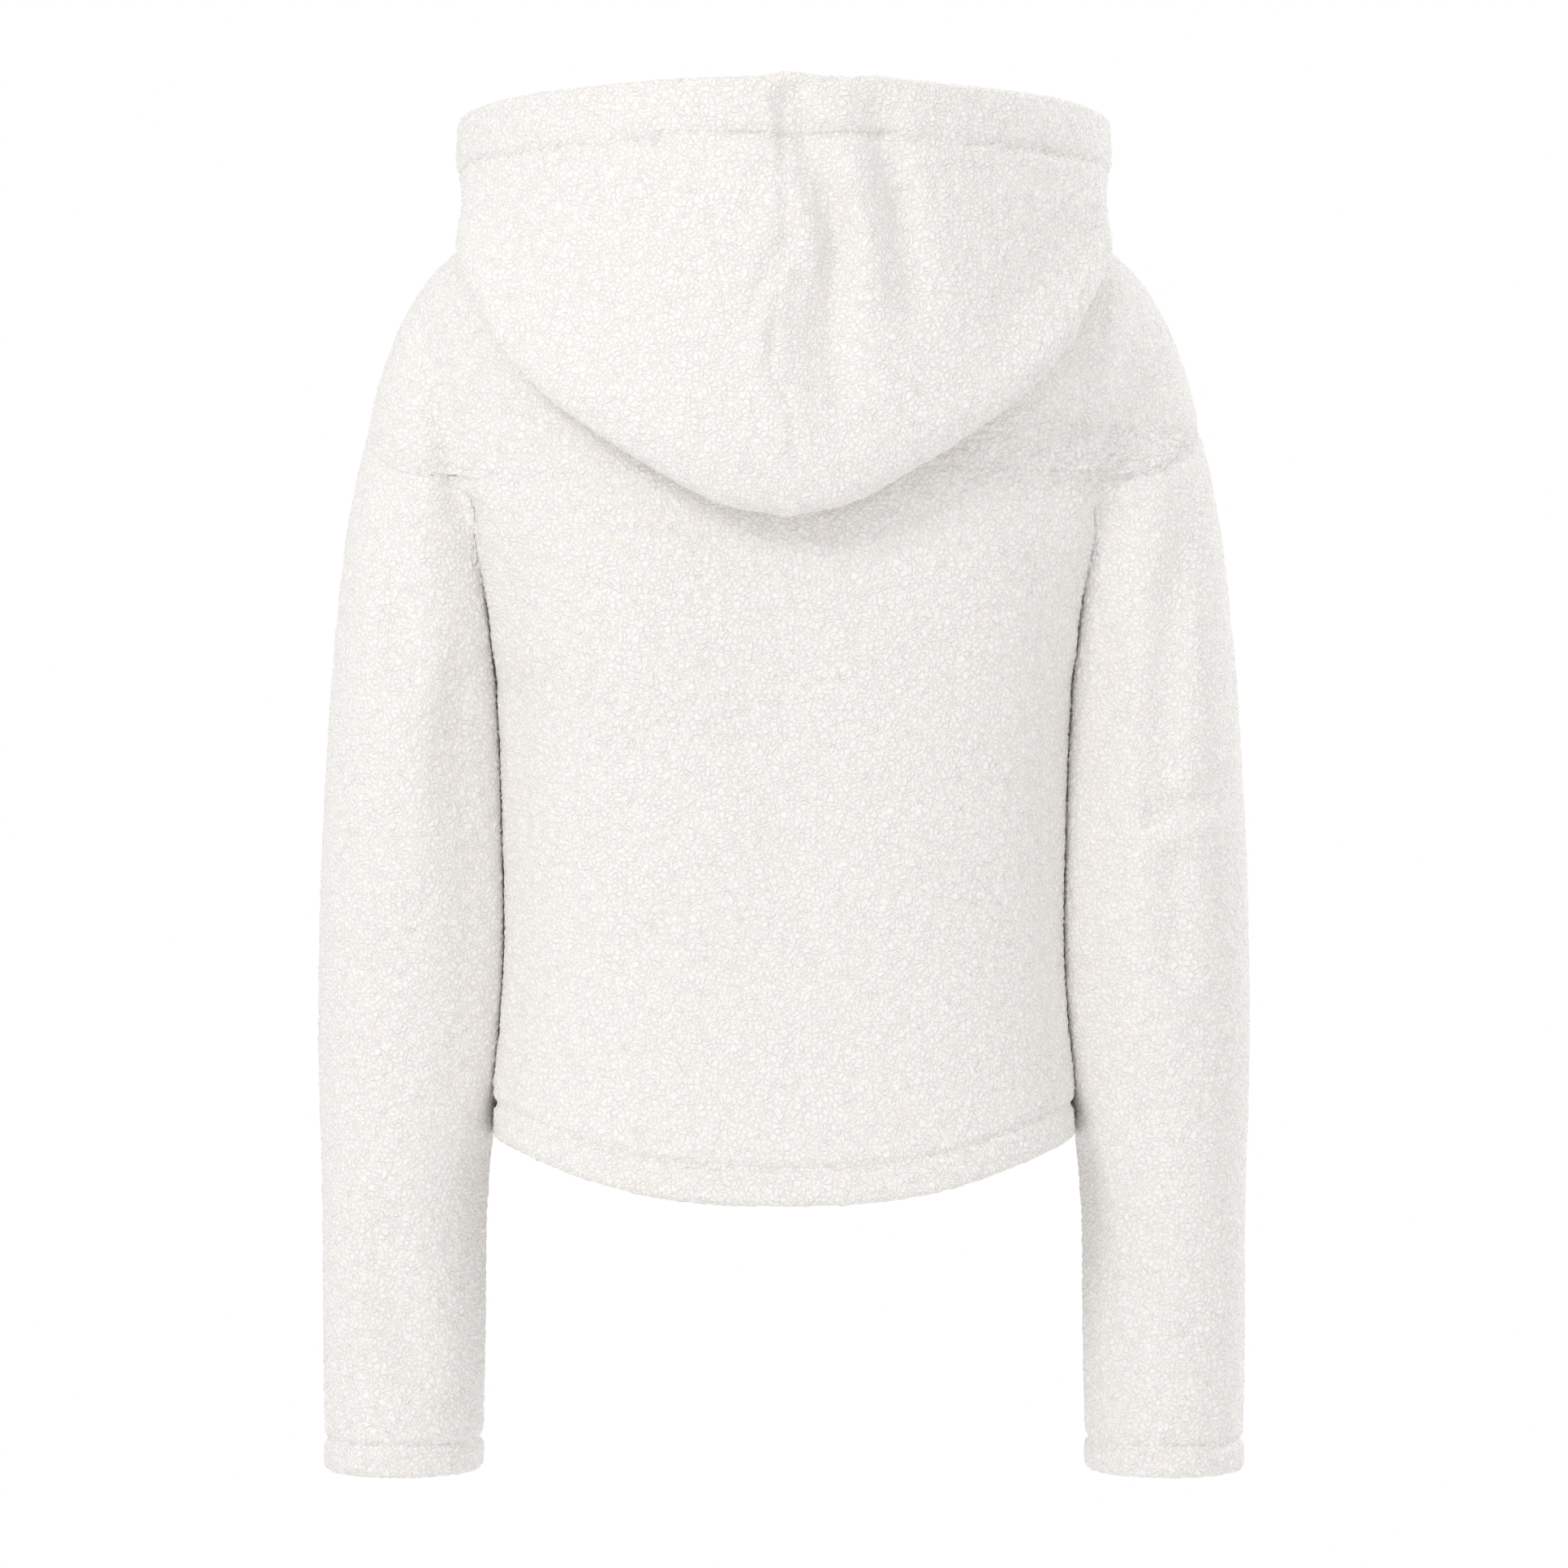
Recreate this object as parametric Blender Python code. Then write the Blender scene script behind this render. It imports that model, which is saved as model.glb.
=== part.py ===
"""Teddy fleece zip-up hoodie with dropped shoulders and its hood down, filled out as when worn.

Metres, +Z up. The wearer faces -Y and the wearer's left is +X. The origin lies between the
shoulders, where the neck and shoulders hold the garment.

The cloth is worked out as one skin: a torso of rounded sections, two sleeves of oval sections that
join it at the armholes, and a hood of upright profiles around the neck. The skin is cut into the
real pattern pieces at its seams, and each piece gets its wall towards the inside.
"""

import math
from collections import namedtuple

import bpy
import numpy as np
from mathutils import Matrix

# Cloth
WALL = 0.005  # fleece with its pile
HEM_WALL = 0.0085  # fleece turned up double
SEAM_GAP = 0.0006
HEM_DEPTH = 0.020
CUFF_HEM_DEPTH = 0.018

# Torso
BACK_SQUARENESS = 2.6  # exponent of the rounded section: 2 is an ellipse
FRONT_SQUARENESS = 2.4
NECK_SQUARENESS = 2.0
SHOULDER_SQUARENESS = 2.4
UNDERARM_Z = -0.247
HEM_SIDE_Z = -0.484
HEM_BACK_DROP = 0.029
HEM_FRONT_DROP = 0.020
HEM_DROP_POWER = 3.5
VALLEY_TOP_Z = -0.015  # above this the shoulder is one dome, with no fold beside the arm
VALLEY_FULL_Z = -0.110

# Sleeves
CUFF_Z = -0.667
SLEEVE_LEVEL_Z = -0.300  # from here down, the sleeve's rings are level

# Hood
HOOD_AXIS_Y = -0.010
STAND_RISE = 0.014
ROLL_RISE = 0.026
ROLL_OUT = 0.013
ROLL_LENGTH = 0.030  # along the shoulder from the neck seam to where the hood lies on it
HOOD_REST = 0.0030  # between the hood and the shoulders under it
LIE_POINTS = 6
BELLY_SHARE = 0.35  # of the height from the pouch's fold to the rim
# how many rows each stretch of a profile gets: stand, roll, lying on the shoulders, turn, wall, rim
PROFILE_ROWS = (1, 2, 1, 1, 1, 1, 1, 1, 2, 2, 2, 2)

# Zip
SLOT = 0.0055  # half the gap between the front edges
CLEARANCE = 0.0003
TAPE_BEHIND = 0.0009  # the tape's face behind the cloth
TAPE_THICK = 0.0008
TAPE_OUT = 0.016
CHAIN_HALF = 0.0026
CHAIN_THICK = 0.0026
ZIP_TOP_Z = -0.0490
ZIP_END_RISE = 0.014  # the zip's box starts this far above the front hem
BOX_SIZE = (0.0084, 0.0036, 0.0115)

# Slider, along the zip's slope: x across, y through the zip, z along it
SLIDER_Z = -0.0575
SLIDER_WIDTH = 0.009
SLIDER_LENGTH = 0.012
SLIDER_GAP = 0.0040  # between its plates
PLATE = 0.0013
BRIDGE_WIDTH = 0.0038
BRIDGE_LENGTH = 0.0048
PIN_OUT = 0.0058  # from the zip's middle plane
PIN_UP = 0.0012
PIN_RADIUS = 0.00075
EAR_INSIDE = 0.0015
EAR_THICK = 0.0009
EAR_HALF = 0.0016

# Pull tab
EYE_HOLE = 0.00105
EYE_RADIUS = 0.0022
EYE_HALF_WIDTH = 0.0012
TAB_WIDTH = 0.0060
TAB_THICK = 0.0014
TAB_START = 0.0026
TAB_END = 0.0250
PULL_TILT = math.radians(5)  # its tip lies in towards the teeth

# How finely the skin is divided
COLUMNS = 14  # from a centre line to the side
TORSO_ROWS = 9
LEVEL_ROWS = 10  # sleeve rings below the elbow line
SLEEVE_TOP_ROWS = 6

# The shoulder seam from the neck to the sleeve, with the heights where each row meets the centre lines
ShoulderRow = namedtuple("ShoulderRow", "seam_x seam_y seam_z back_z front_z")
SHOULDER_ROWS = [
    ShoulderRow(0.0920, -0.010, 0.024, 0.015, -0.0450),
    ShoulderRow(0.1120, -0.009, 0.0215, 0.008, -0.0510),
    ShoulderRow(0.1350, -0.008, 0.016, -0.003, -0.0580),
    ShoulderRow(0.1580, -0.006, 0.007, -0.018, -0.0660),
    ShoulderRow(0.1780, -0.004, -0.006, -0.034, -0.0740),
    ShoulderRow(0.1950, -0.002, -0.0235, -0.050, -0.0820),
    ShoulderRow(0.2080, -0.001, -0.046, -0.066, -0.0880),
    ShoulderRow(0.2180, 0.000, -0.071, -0.082, -0.0935),
    ShoulderRow(0.2244, 0.000, -0.099, -0.099, -0.0990),
]

# The armhole seam from the tip of the shoulder: first over the arm, then down in the fold beside it
ArmholeRow = namedtuple("ArmholeRow", "z arm_angle")
ARMHOLE_ROWS = [
    ArmholeRow(-0.1105, 23),
    ArmholeRow(-0.1200, 46),
    ArmholeRow(-0.1275, 69),
    ArmholeRow(-0.1325, 92),
    ArmholeRow(-0.1420, None),
    ArmholeRow(-0.1630, None),
    ArmholeRow(-0.1840, None),
    ArmholeRow(-0.2050, None),
    ArmholeRow(-0.2260, None),
    ArmholeRow(UNDERARM_Z, None),
]

LinePoint = namedtuple("LinePoint", "z y")
CENTRE_BACK = [
    LinePoint(0.015, 0.080),
    LinePoint(0.008, 0.091),
    LinePoint(-0.003, 0.099),
    LinePoint(-0.018, 0.104),
    LinePoint(-0.050, 0.110),
    LinePoint(-0.099, 0.1145),
    LinePoint(-0.160, 0.116),
    LinePoint(-0.247, 0.112),
    LinePoint(-0.313, 0.106),
    LinePoint(-0.392, 0.102),
    LinePoint(-0.440, 0.104),
    LinePoint(-0.513, 0.111),
]
CENTRE_FRONT = [
    LinePoint(-0.045, -0.100),
    LinePoint(-0.066, -0.109),
    LinePoint(-0.099, -0.117),
    LinePoint(-0.142, -0.122),
    LinePoint(-0.201, -0.125),
    LinePoint(-0.247, -0.124),
    LinePoint(-0.313, -0.119),
    LinePoint(-0.392, -0.113),
    LinePoint(-0.440, -0.112),
    LinePoint(-0.513, -0.114),
]

TorsoRing = namedtuple("TorsoRing", "z half_width")
TORSO = [
    TorsoRing(0.024, 0.165),
    TorsoRing(-0.020, 0.178),
    TorsoRing(-0.060, 0.184),
    TorsoRing(-0.099, 0.184),
    TorsoRing(-0.142, 0.180),
    TorsoRing(-0.201, 0.162),
    TorsoRing(UNDERARM_Z, 0.1520),
    TorsoRing(-0.262, 0.1504),
    TorsoRing(-0.313, 0.1490),
    TorsoRing(-0.392, 0.1480),
    TorsoRing(-0.440, 0.1515),
    TorsoRing(-0.480, 0.1565),
    TorsoRing(-0.513, 0.1600),
]

SleeveRing = namedtuple("SleeveRing", "z inner_x outer_x mid_y half_depth")
SLEEVE = [
    SleeveRing(0.020, 0.0500, 0.1500, 0.000, 0.030),
    SleeveRing(-0.020, 0.0700, 0.1930, 0.000, 0.042),
    SleeveRing(-0.060, 0.0950, 0.2140, 0.000, 0.056),
    SleeveRing(-0.099, 0.1200, 0.2244, 0.000, 0.063),
    SleeveRing(-0.142, 0.1400, 0.2340, 0.000, 0.067),
    SleeveRing(-0.201, 0.1485, 0.2415, 0.000, 0.070),
    SleeveRing(UNDERARM_Z, 0.1520, 0.2455, 0.000, 0.070),
    SleeveRing(-0.262, 0.1525, 0.2465, 0.000, 0.0695),
    SleeveRing(-0.313, 0.1500, 0.2495, 0.000, 0.066),
    SleeveRing(-0.392, 0.1490, 0.2520, -0.002, 0.060),
    SleeveRing(-0.440, 0.1525, 0.2525, -0.004, 0.055),
    SleeveRing(-0.480, 0.1577, 0.2515, -0.006, 0.052),
    SleeveRing(-0.510, 0.1610, 0.2508, -0.008, 0.050),
    SleeveRing(-0.581, 0.1626, 0.2508, -0.013, 0.047),
    SleeveRing(CUFF_Z, 0.1650, 0.2502, -0.020, 0.045),
]

# The hood around its upright axis, by azimuth from the side (0) to the back (90) or the front (-90).
# pouch says how much it rolls over and hangs, bottom_z is where the pouch ends on the shoulders, turn is
# the width of its lower fold.
HoodProfile = namedtuple("HoodProfile", "azimuth pouch bottom_z turn belly_r rim_r rim_z")
HOOD = [
    HoodProfile(-90, 0.00, -0.050, 0.014, 0.103, 0.106, -0.004),
    HoodProfile(-60, 0.30, -0.048, 0.014, 0.119, 0.123, 0.030),
    HoodProfile(-30, 0.85, -0.022, 0.014, 0.151, 0.155, 0.056),
    HoodProfile(0, 1.00, 0.003, 0.012, 0.1755, 0.1765, 0.067),
    HoodProfile(12, 1.00, -0.004, 0.013, 0.1775, 0.1755, 0.068),
    HoodProfile(22, 1.00, -0.021, 0.015, 0.1790, 0.1725, 0.069),
    HoodProfile(32, 1.00, -0.048, 0.018, 0.1765, 0.169, 0.0695),
    HoodProfile(40, 1.00, -0.078, 0.022, 0.1755, 0.167, 0.0695),
    HoodProfile(50, 1.00, -0.104, 0.026, 0.172, 0.165, 0.0693),
    HoodProfile(65, 1.00, -0.132, 0.030, 0.169, 0.164, 0.0700),
    HoodProfile(77, 1.00, -0.149, 0.032, 0.168, 0.165, 0.0700),
    HoodProfile(90, 1.00, -0.155, 0.032, 0.168, 0.166, 0.0698),
]

# The largest folds, as soft troughs in the cloth's outer side, seen from behind (face 1) or from the
# front (face -1)
Fold = namedtuple("Fold", "layer face x0 z0 x1 z1 width depth")
FOLDS = [
    Fold("shell", 1, 0.214, -0.120, 0.200, -0.236, 0.014, 0.0050),
    Fold("shell", 1, -0.222, -0.118, -0.206, -0.195, 0.014, 0.0060),
    Fold("shell", 1, -0.206, -0.195, -0.201, -0.300, 0.014, 0.0050),
    Fold("shell", 1, -0.198, -0.312, -0.222, -0.302, 0.010, 0.0040),
    Fold("shell", 1, -0.206, -0.335, -0.209, -0.388, 0.013, 0.0040),
    Fold("shell", 1, 0.212, -0.540, 0.200, -0.608, 0.016, 0.0035),
    Fold("shell", -1, 0.212, -0.140, 0.200, -0.240, 0.014, 0.0050),
    Fold("shell", -1, -0.214, -0.140, -0.201, -0.250, 0.014, 0.0050),
    Fold("shell", -1, 0.224, -0.318, 0.178, -0.345, 0.012, 0.0050),
    Fold("shell", -1, -0.222, -0.330, -0.178, -0.352, 0.012, 0.0050),
    Fold("hood", 1, -0.006, 0.048, -0.027, -0.014, 0.012, 0.0060),
    Fold("hood", 1, -0.027, -0.014, -0.027, -0.100, 0.013, 0.0035),
    Fold("hood", 1, -0.049, 0.045, -0.062, -0.045, 0.013, 0.0045),
    Fold("hood", 1, -0.118, -0.052, -0.155, -0.012, 0.014, 0.0030),
]

CLOTH_COLOUR = (0.83, 0.82, 0.80, 1)
TAPE_COLOUR = (0.78, 0.77, 0.74, 1)
METAL_COLOUR = (0.78, 0.78, 0.77, 1)


def read_curve(table, key, column, at):
    """A smooth curve through one column of a table, read at the given values of the key column."""
    knots = np.array([getattr(row, key) for row in table], float)
    values = np.array([getattr(row, column) for row in table], float)
    order = np.argsort(knots)
    knots = knots[order]
    values = values[order]
    slopes = np.gradient(values, knots)
    at = np.clip(at, knots[0], knots[-1])
    i = np.clip(np.searchsorted(knots, at) - 1, 0, len(knots) - 2)
    step = knots[i + 1] - knots[i]
    s = (at - knots[i]) / step
    start = values[i] * (1 + 2 * s) * (1 - s) ** 2 + slopes[i] * step * s * (1 - s) ** 2
    end = values[i + 1] * s * s * (3 - 2 * s) + slopes[i + 1] * step * s * s * (s - 1)
    return start + end


def smooth_step(value, start, end):
    """0 before start, 1 past end and a soft rise between them."""
    s = np.clip((value - start) / (end - start), 0, 1)
    return s * s * (3 - 2 * s)


def spaced(points, count):
    """The same line with count + 1 points at even distances along it."""
    steps = np.linalg.norm(np.diff(points, axis=0), axis=1)
    run = np.concatenate([[0], np.cumsum(steps)])
    at = np.linspace(0, run[-1], count + 1)
    return np.stack([np.interp(at, run, points[:, k]) for k in range(points.shape[1])], axis=1)


def softened(points, passes):
    """The same line with its corners rounded and its ends kept."""
    points = points.copy()
    for _ in range(passes):
        points[1:-1] = (points[:-2] + 2 * points[1:-1] + points[2:]) / 4
    return points


# Torso and shoulders


def centre_y(z, face):
    """The centre line's distance from the axis at a height: face is 1 at the back and -1 in front."""
    return read_curve(CENTRE_BACK if face > 0 else CENTRE_FRONT, "z", "y", z)


def squareness(face):
    return BACK_SQUARENESS if face > 0 else FRONT_SQUARENESS


def torso_section(angles, z, face):
    """Points of the torso's section, from the centre line (0) to the side (90 degrees)."""
    power = 2 / squareness(face)
    x = read_curve(TORSO, "z", "half_width", z) * np.sin(angles) ** power
    y = centre_y(z, face) * np.maximum(np.cos(angles), 0) ** power
    return np.stack([x, y], axis=-1)


def sleeve_section(angles, z, face):
    """Points of the sleeve's oval, from its outer side (0) over the given face to its inner side."""
    inner = read_curve(SLEEVE, "z", "inner_x", z)
    outer = read_curve(SLEEVE, "z", "outer_x", z)
    x = (inner + outer) / 2 + (outer - inner) / 2 * np.cos(angles)
    depth = read_curve(SLEEVE, "z", "half_depth", z)
    y = read_curve(SLEEVE, "z", "mid_y", z) + face * depth * np.sin(angles)
    return np.stack([x, y], axis=-1)


def valley_angle(z, face):
    """The angle on the sleeve's oval where it sinks into the torso, in the fold beside the arm."""
    power = squareness(face)
    half_width = read_curve(TORSO, "z", "half_width", z)
    depth = abs(centre_y(z, face))
    outside = math.radians(10)
    inside = math.pi
    for _ in range(40):
        middle = (outside + inside) / 2
        x, y = sleeve_section(middle, z, face)
        if (x / half_width) ** power + (abs(y) / depth) ** power > 1:
            outside = middle
        else:
            inside = middle
    return (outside + inside) / 2


def joined_outline(z, face, arm_angle):
    """The skin at one height from the centre line to the armhole, as x, y.

    It follows the torso into the fold beside the arm and, where arm_angle is given, the arm from the
    fold to that angle.
    """
    valley = valley_angle(z, face)
    valley_x = sleeve_section(valley, z, face)[0]
    half_width = read_curve(TORSO, "z", "half_width", z)
    reach = min(valley_x / half_width, 1.0)
    last = math.asin(reach ** (squareness(face) / 2))
    line = torso_section(np.linspace(0, last, 90), z, face)
    if arm_angle is None:
        return line
    arm = sleeve_section(np.linspace(valley, arm_angle, 60)[1:], z, face)
    return softened(spaced(np.concatenate([line, arm]), 120), 24)


def dome_outline(row, face, power):
    """A shoulder row as one dome from the centre line to the shoulder seam, as x, y."""
    z = row.back_z if face > 0 else row.front_z
    angles = np.linspace(0, math.pi / 2, 120)
    middle = centre_y(z, face)
    x = row.seam_x * np.sin(angles) ** (2 / power)
    y = row.seam_y + (middle - row.seam_y) * np.maximum(np.cos(angles), 0) ** (2 / power)
    return np.stack([x, y], axis=-1)


def shoulder_rows(face):
    """Rows from the neck to the tip of the shoulder, each from the centre line to the shoulder seam."""
    rows = []
    for i, row in enumerate(SHOULDER_ROWS):
        down = i / (len(SHOULDER_ROWS) - 1)
        power = NECK_SQUARENESS + (SHOULDER_SQUARENESS - NECK_SQUARENESS) * down
        line = spaced(dome_outline(row, face, power), COLUMNS)
        blend = smooth_step(-row.seam_z, -VALLEY_TOP_Z, -VALLEY_FULL_Z)
        if blend > 0:
            joined = spaced(joined_outline(row.seam_z, face, 0.0), COLUMNS)
            line[:-1] += blend * (joined - line)[:-1]
        middle_z = row.back_z if face > 0 else row.front_z
        z = middle_z + (row.seam_z - middle_z) * (line[:, 0] / row.seam_x) ** 1.8
        rows.append(np.column_stack([line, z]))
    return rows


def armhole_rows(face):
    """Level rows beside the armhole, each from the centre line to the armhole seam."""
    rows = []
    for row in ARMHOLE_ROWS:
        arm_angle = None if row.arm_angle is None else math.radians(row.arm_angle)
        line = spaced(joined_outline(row.z, face, arm_angle), COLUMNS)
        rows.append(np.column_stack([line, np.full(COLUMNS + 1, row.z)]))
    return rows


def torso_rows(face):
    """Rows below the underarm, from the centre line to the side seam, down to the dipped hem."""
    drop = HEM_BACK_DROP if face > 0 else HEM_FRONT_DROP
    body_share = 1 - HEM_DEPTH / (UNDERARM_Z - HEM_SIDE_Z)
    shares = np.append(np.linspace(0, body_share, TORSO_ROWS + 1)[1:], 1)
    fine = np.linspace(0, math.pi / 2, 200)
    rows = []
    for share in shares:
        level = UNDERARM_Z + share * (HEM_SIDE_Z - UNDERARM_Z)
        outline = np.column_stack([torso_section(fine, level, face), fine])
        angles = spaced(outline, COLUMNS)[:, 2]
        dip = drop * np.maximum(np.cos(angles), 0) ** (HEM_DROP_POWER * 2 / squareness(face))
        z = level - share * dip
        rows.append(np.column_stack([torso_section(angles, z, face), z]))
    return rows


def body_quarter(face):
    """The left half of the back (face 1) or of the front (face -1): rows from the neck to the hem."""
    return np.array(shoulder_rows(face) + armhole_rows(face) + torso_rows(face))


def opened_for_zip(front):
    """The left front with its centre edge moved out to the zip's slot."""
    front = front.copy()
    ends = front[:, -1:, 0]
    front[..., 0] += SLOT * (1 - front[..., 0] / ends)
    return front


# Sleeves


def sleeve_tube(back, front):
    """The left sleeve as rings from the armhole seam to the cuff, each from the outer side over the
    back, the underarm and the front."""
    first = len(SHOULDER_ROWS) - 1
    last = first + len(ARMHOLE_ROWS)
    back_seam = back[first : last + 1, -1]
    front_seam = front[first : last + 1, -1]
    count = len(ARMHOLE_ROWS)
    back_angles = seam_angles(1)
    front_angles = seam_angles(-1)
    body_end = CUFF_Z + CUFF_HEM_DEPTH
    levels = np.append(np.linspace(SLEEVE_LEVEL_Z, body_end, LEVEL_ROWS), CUFF_Z)
    columns = []
    for j in range(2 * count):
        face = 1 if j <= count else -1
        k = j if j <= count else 2 * count - j
        top = (back_seam if face > 0 else front_seam)[k]
        angle = (back_angles if face > 0 else front_angles)[k]
        shares = np.linspace(0, 1, SLEEVE_TOP_ROWS + 1)[:-1]
        heights = np.concatenate([top[2] + shares * (SLEEVE_LEVEL_Z - top[2]), levels])
        even = math.pi * k / count
        turn = smooth_step(-heights, 0.10, 0.40)
        angles = angle + turn * (even - angle)
        points = np.column_stack([sleeve_section(angles, heights, face), heights])
        points[0] = top
        columns.append(points)
    return np.array(columns).transpose(1, 0, 2)


def seam_angles(face):
    """Where the armhole seam's points lie on the sleeve's oval."""
    angles = [0.0]
    for row in ARMHOLE_ROWS[:-1]:
        if row.arm_angle is None:
            angles.append(valley_angle(row.z, face))
        else:
            angles.append(math.radians(row.arm_angle))
    return angles + [math.pi]


# Hood


def body_profile(azimuth, back, front):
    """The shoulders' skin in one upright plane through the hood's axis, from the neck down, as distance
    from the axis and height."""
    profile = []
    for back_row, front_row in zip(back, front):
        half = np.concatenate([back_row, front_row[::-1][1:]])
        turns = np.arctan2(half[:, 1] - HOOD_AXIS_Y, half[:, 0])[::-1]
        x, y, z = (np.interp(azimuth, turns, half[::-1, k]) for k in range(3))
        profile.append((math.hypot(x, y - HOOD_AXIS_Y), z))
    return np.array(profile)


def along(line, run, at):
    """The point at a distance along a line, and the unit normal to its left there."""
    point = np.array([np.interp(at, run, line[:, k]) for k in range(2)])
    ahead = np.array([np.interp(at + 0.01, run, line[:, k]) for k in range(2)])
    behind = np.array([np.interp(at - 0.01, run, line[:, k]) for k in range(2)])
    tangent = (ahead - behind) / np.linalg.norm(ahead - behind)
    return point, np.array([-tangent[1], tangent[0]])


def hood_profile(azimuth, shoulders):
    """One upright profile of the hood, as distance from its axis and height, from the neck to the rim."""
    pouch, bottom_z, turn, belly_r, rim_r, rim_z = (
        float(read_curve(HOOD, "azimuth", column, azimuth)) for column in HoodProfile._fields[1:]
    )
    run = np.concatenate([[0], np.linalg.norm(np.diff(shoulders, axis=0), axis=1).cumsum()])
    end = float(np.interp(-bottom_z, -shoulders[:, 1], run))
    seam = shoulders[0]
    rim = np.array([rim_r, rim_z])
    full = [seam, seam + (0.001, STAND_RISE), seam + (ROLL_OUT, ROLL_RISE)]
    for at in np.linspace(ROLL_LENGTH, end - turn / 2, LIE_POINTS):
        point, normal = along(shoulders, run, at)
        full.append(point + normal * HOOD_REST)
    heel, normal = along(shoulders, run, end - turn / 2)
    tip, tip_normal = along(shoulders, run, end)
    full.append(tip + tip_normal * (HOOD_REST + turn / 2))
    toe = heel + normal * (HOOD_REST + turn)
    full.append(toe)
    full.append(np.array([belly_r, toe[1] + BELLY_SHARE * (rim_z - toe[1])]))
    full.append(rim)
    full = np.array(full)
    shares = np.linspace(0, 1, len(full))[:, None]
    plain = seam + shares * (rim - seam)
    return rounded_line(plain + np.clip(pouch, 0, 1) * (full - plain), PROFILE_ROWS)


def rounded_line(corners, counts):
    """A smooth line through the corners, with the given number of steps from each to the next."""
    ends = [2 * corners[0] - corners[1], *corners, 2 * corners[-1] - corners[-2]]
    points = []
    for count, before, start, end, after in zip(counts, ends, ends[1:], ends[2:], ends[3:]):
        for s in np.linspace(0, 1, count, endpoint=False):
            bend = (2 * before - 5 * start + 4 * end - after) * s * s
            twist = (3 * start - before - 3 * end + after) * s**3
            points.append((2 * start + (end - before) * s + bend + twist) / 2)
    points.append(ends[-2])
    return np.array(points)


def hood_half(neck, back, front):
    """The left half of the hood over the neck seam's points, which run from the back to the front."""
    columns = []
    for x, y, z in neck:
        azimuth = math.atan2(y - HOOD_AXIS_Y, x)
        shoulders = body_profile(azimuth, back, front)
        shoulders[0] = math.hypot(x, y - HOOD_AXIS_Y), z
        profile = hood_profile(math.degrees(azimuth), shoulders)
        r = profile[:, 0]
        ring_y = HOOD_AXIS_Y + r * math.sin(azimuth)
        columns.append(np.column_stack([r * math.cos(azimuth), ring_y, profile[:, 1]]))
    return np.array(columns).transpose(1, 0, 2)


# The skin cut into pieces


class Cloth:
    """One pattern piece: a grid of points on the skin's outer side, and its thickness at each."""

    def __init__(self, name, layer, outer, thick_rows, ring=False):
        self.name = name
        self.layer = layer
        self.outer = outer
        self.ring = ring
        self.thick = np.full(outer.shape[:2], WALL)
        for row in thick_rows:
            self.thick[row] = HEM_WALL

    def faces(self):
        """The grid's quads, as four index pairs each, so that they face out of the garment."""
        rows, columns = self.outer.shape[:2]
        for i in range(rows - 1):
            for j in range(columns if self.ring else columns - 1):
                k = (j + 1) % columns
                yield (i, j), (i, k), (i + 1, k), (i + 1, j)

    def borders(self, i, j):
        """At a border point, each border's direction and the step from it into the piece."""
        rows, columns = self.outer.shape[:2]
        here = self.outer[i, j]
        found = []
        row_step = {0: 1, rows - 1: -1}.get(i, 0)
        if row_step:
            if self.ring:
                after, before = self.outer[i, (j + 1) % columns], self.outer[i, j - 1]
            else:
                after, before = self.outer[i, min(j + 1, columns - 1)], self.outer[i, max(j - 1, 0)]
            found.append((after - before, self.outer[i + row_step, j] - here))
        column_step = 0 if self.ring else {0: 1, columns - 1: -1}.get(j, 0)
        if column_step:
            along_border = self.outer[min(i + 1, rows - 1), j] - self.outer[max(i - 1, 0), j]
            found.append((along_border, self.outer[i, j + column_step] - here))
        return found


def mirrored(grid):
    """The right-hand copy of a left-hand grid, with its columns in the other order."""
    return (grid * np.array([-1, 1, 1]))[:, ::-1]


def point_key(point):
    return tuple(np.round(point, 6) + 0.0)


def shared_normals(pieces):
    """The skin's normal at each of its points, the same for every piece that meets there.

    Where two walls face each other, as under the arm, the seam's inner side is up.
    """
    total = {}
    count = {}
    for piece in pieces:
        for corners in piece.faces():
            a, b, c, d = (piece.outer[corner] for corner in corners)
            normal = np.cross(c - a, d - b)
            normal /= np.linalg.norm(normal)
            for corner in {point_key(p) for p in (a, b, c, d)}:
                total[corner] = total.get(corner, 0) + normal
                count[corner] = count.get(corner, 0) + 1
    normals = {}
    for corner, normal in total.items():
        agree = np.linalg.norm(normal) / count[corner]
        normal = normal / count[corner] + np.array([0, 0, -0.8]) * (1 - agree)
        normals[corner] = normal / np.linalg.norm(normal)
    return normals


def fold_depth(point, normal, layer):
    """How far the folds press the skin in at a point."""
    depth = 0.0
    for fold in FOLDS:
        if fold.layer != layer:
            continue
        start = np.array([fold.x0, fold.z0])
        run = np.array([fold.x1, fold.z1]) - start
        share = float(np.clip((point[[0, 2]] - start) @ run / (run @ run), 0, 1))
        away = np.linalg.norm(point[[0, 2]] - start - share * run)
        facing = np.clip(1.6 * normal[1] * fold.face, 0, 1)
        depth += fold.depth * facing * math.exp(-((away / fold.width) ** 2))
    return depth


def unit(vector):
    return vector / max(np.linalg.norm(vector), 1e-12)


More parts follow.
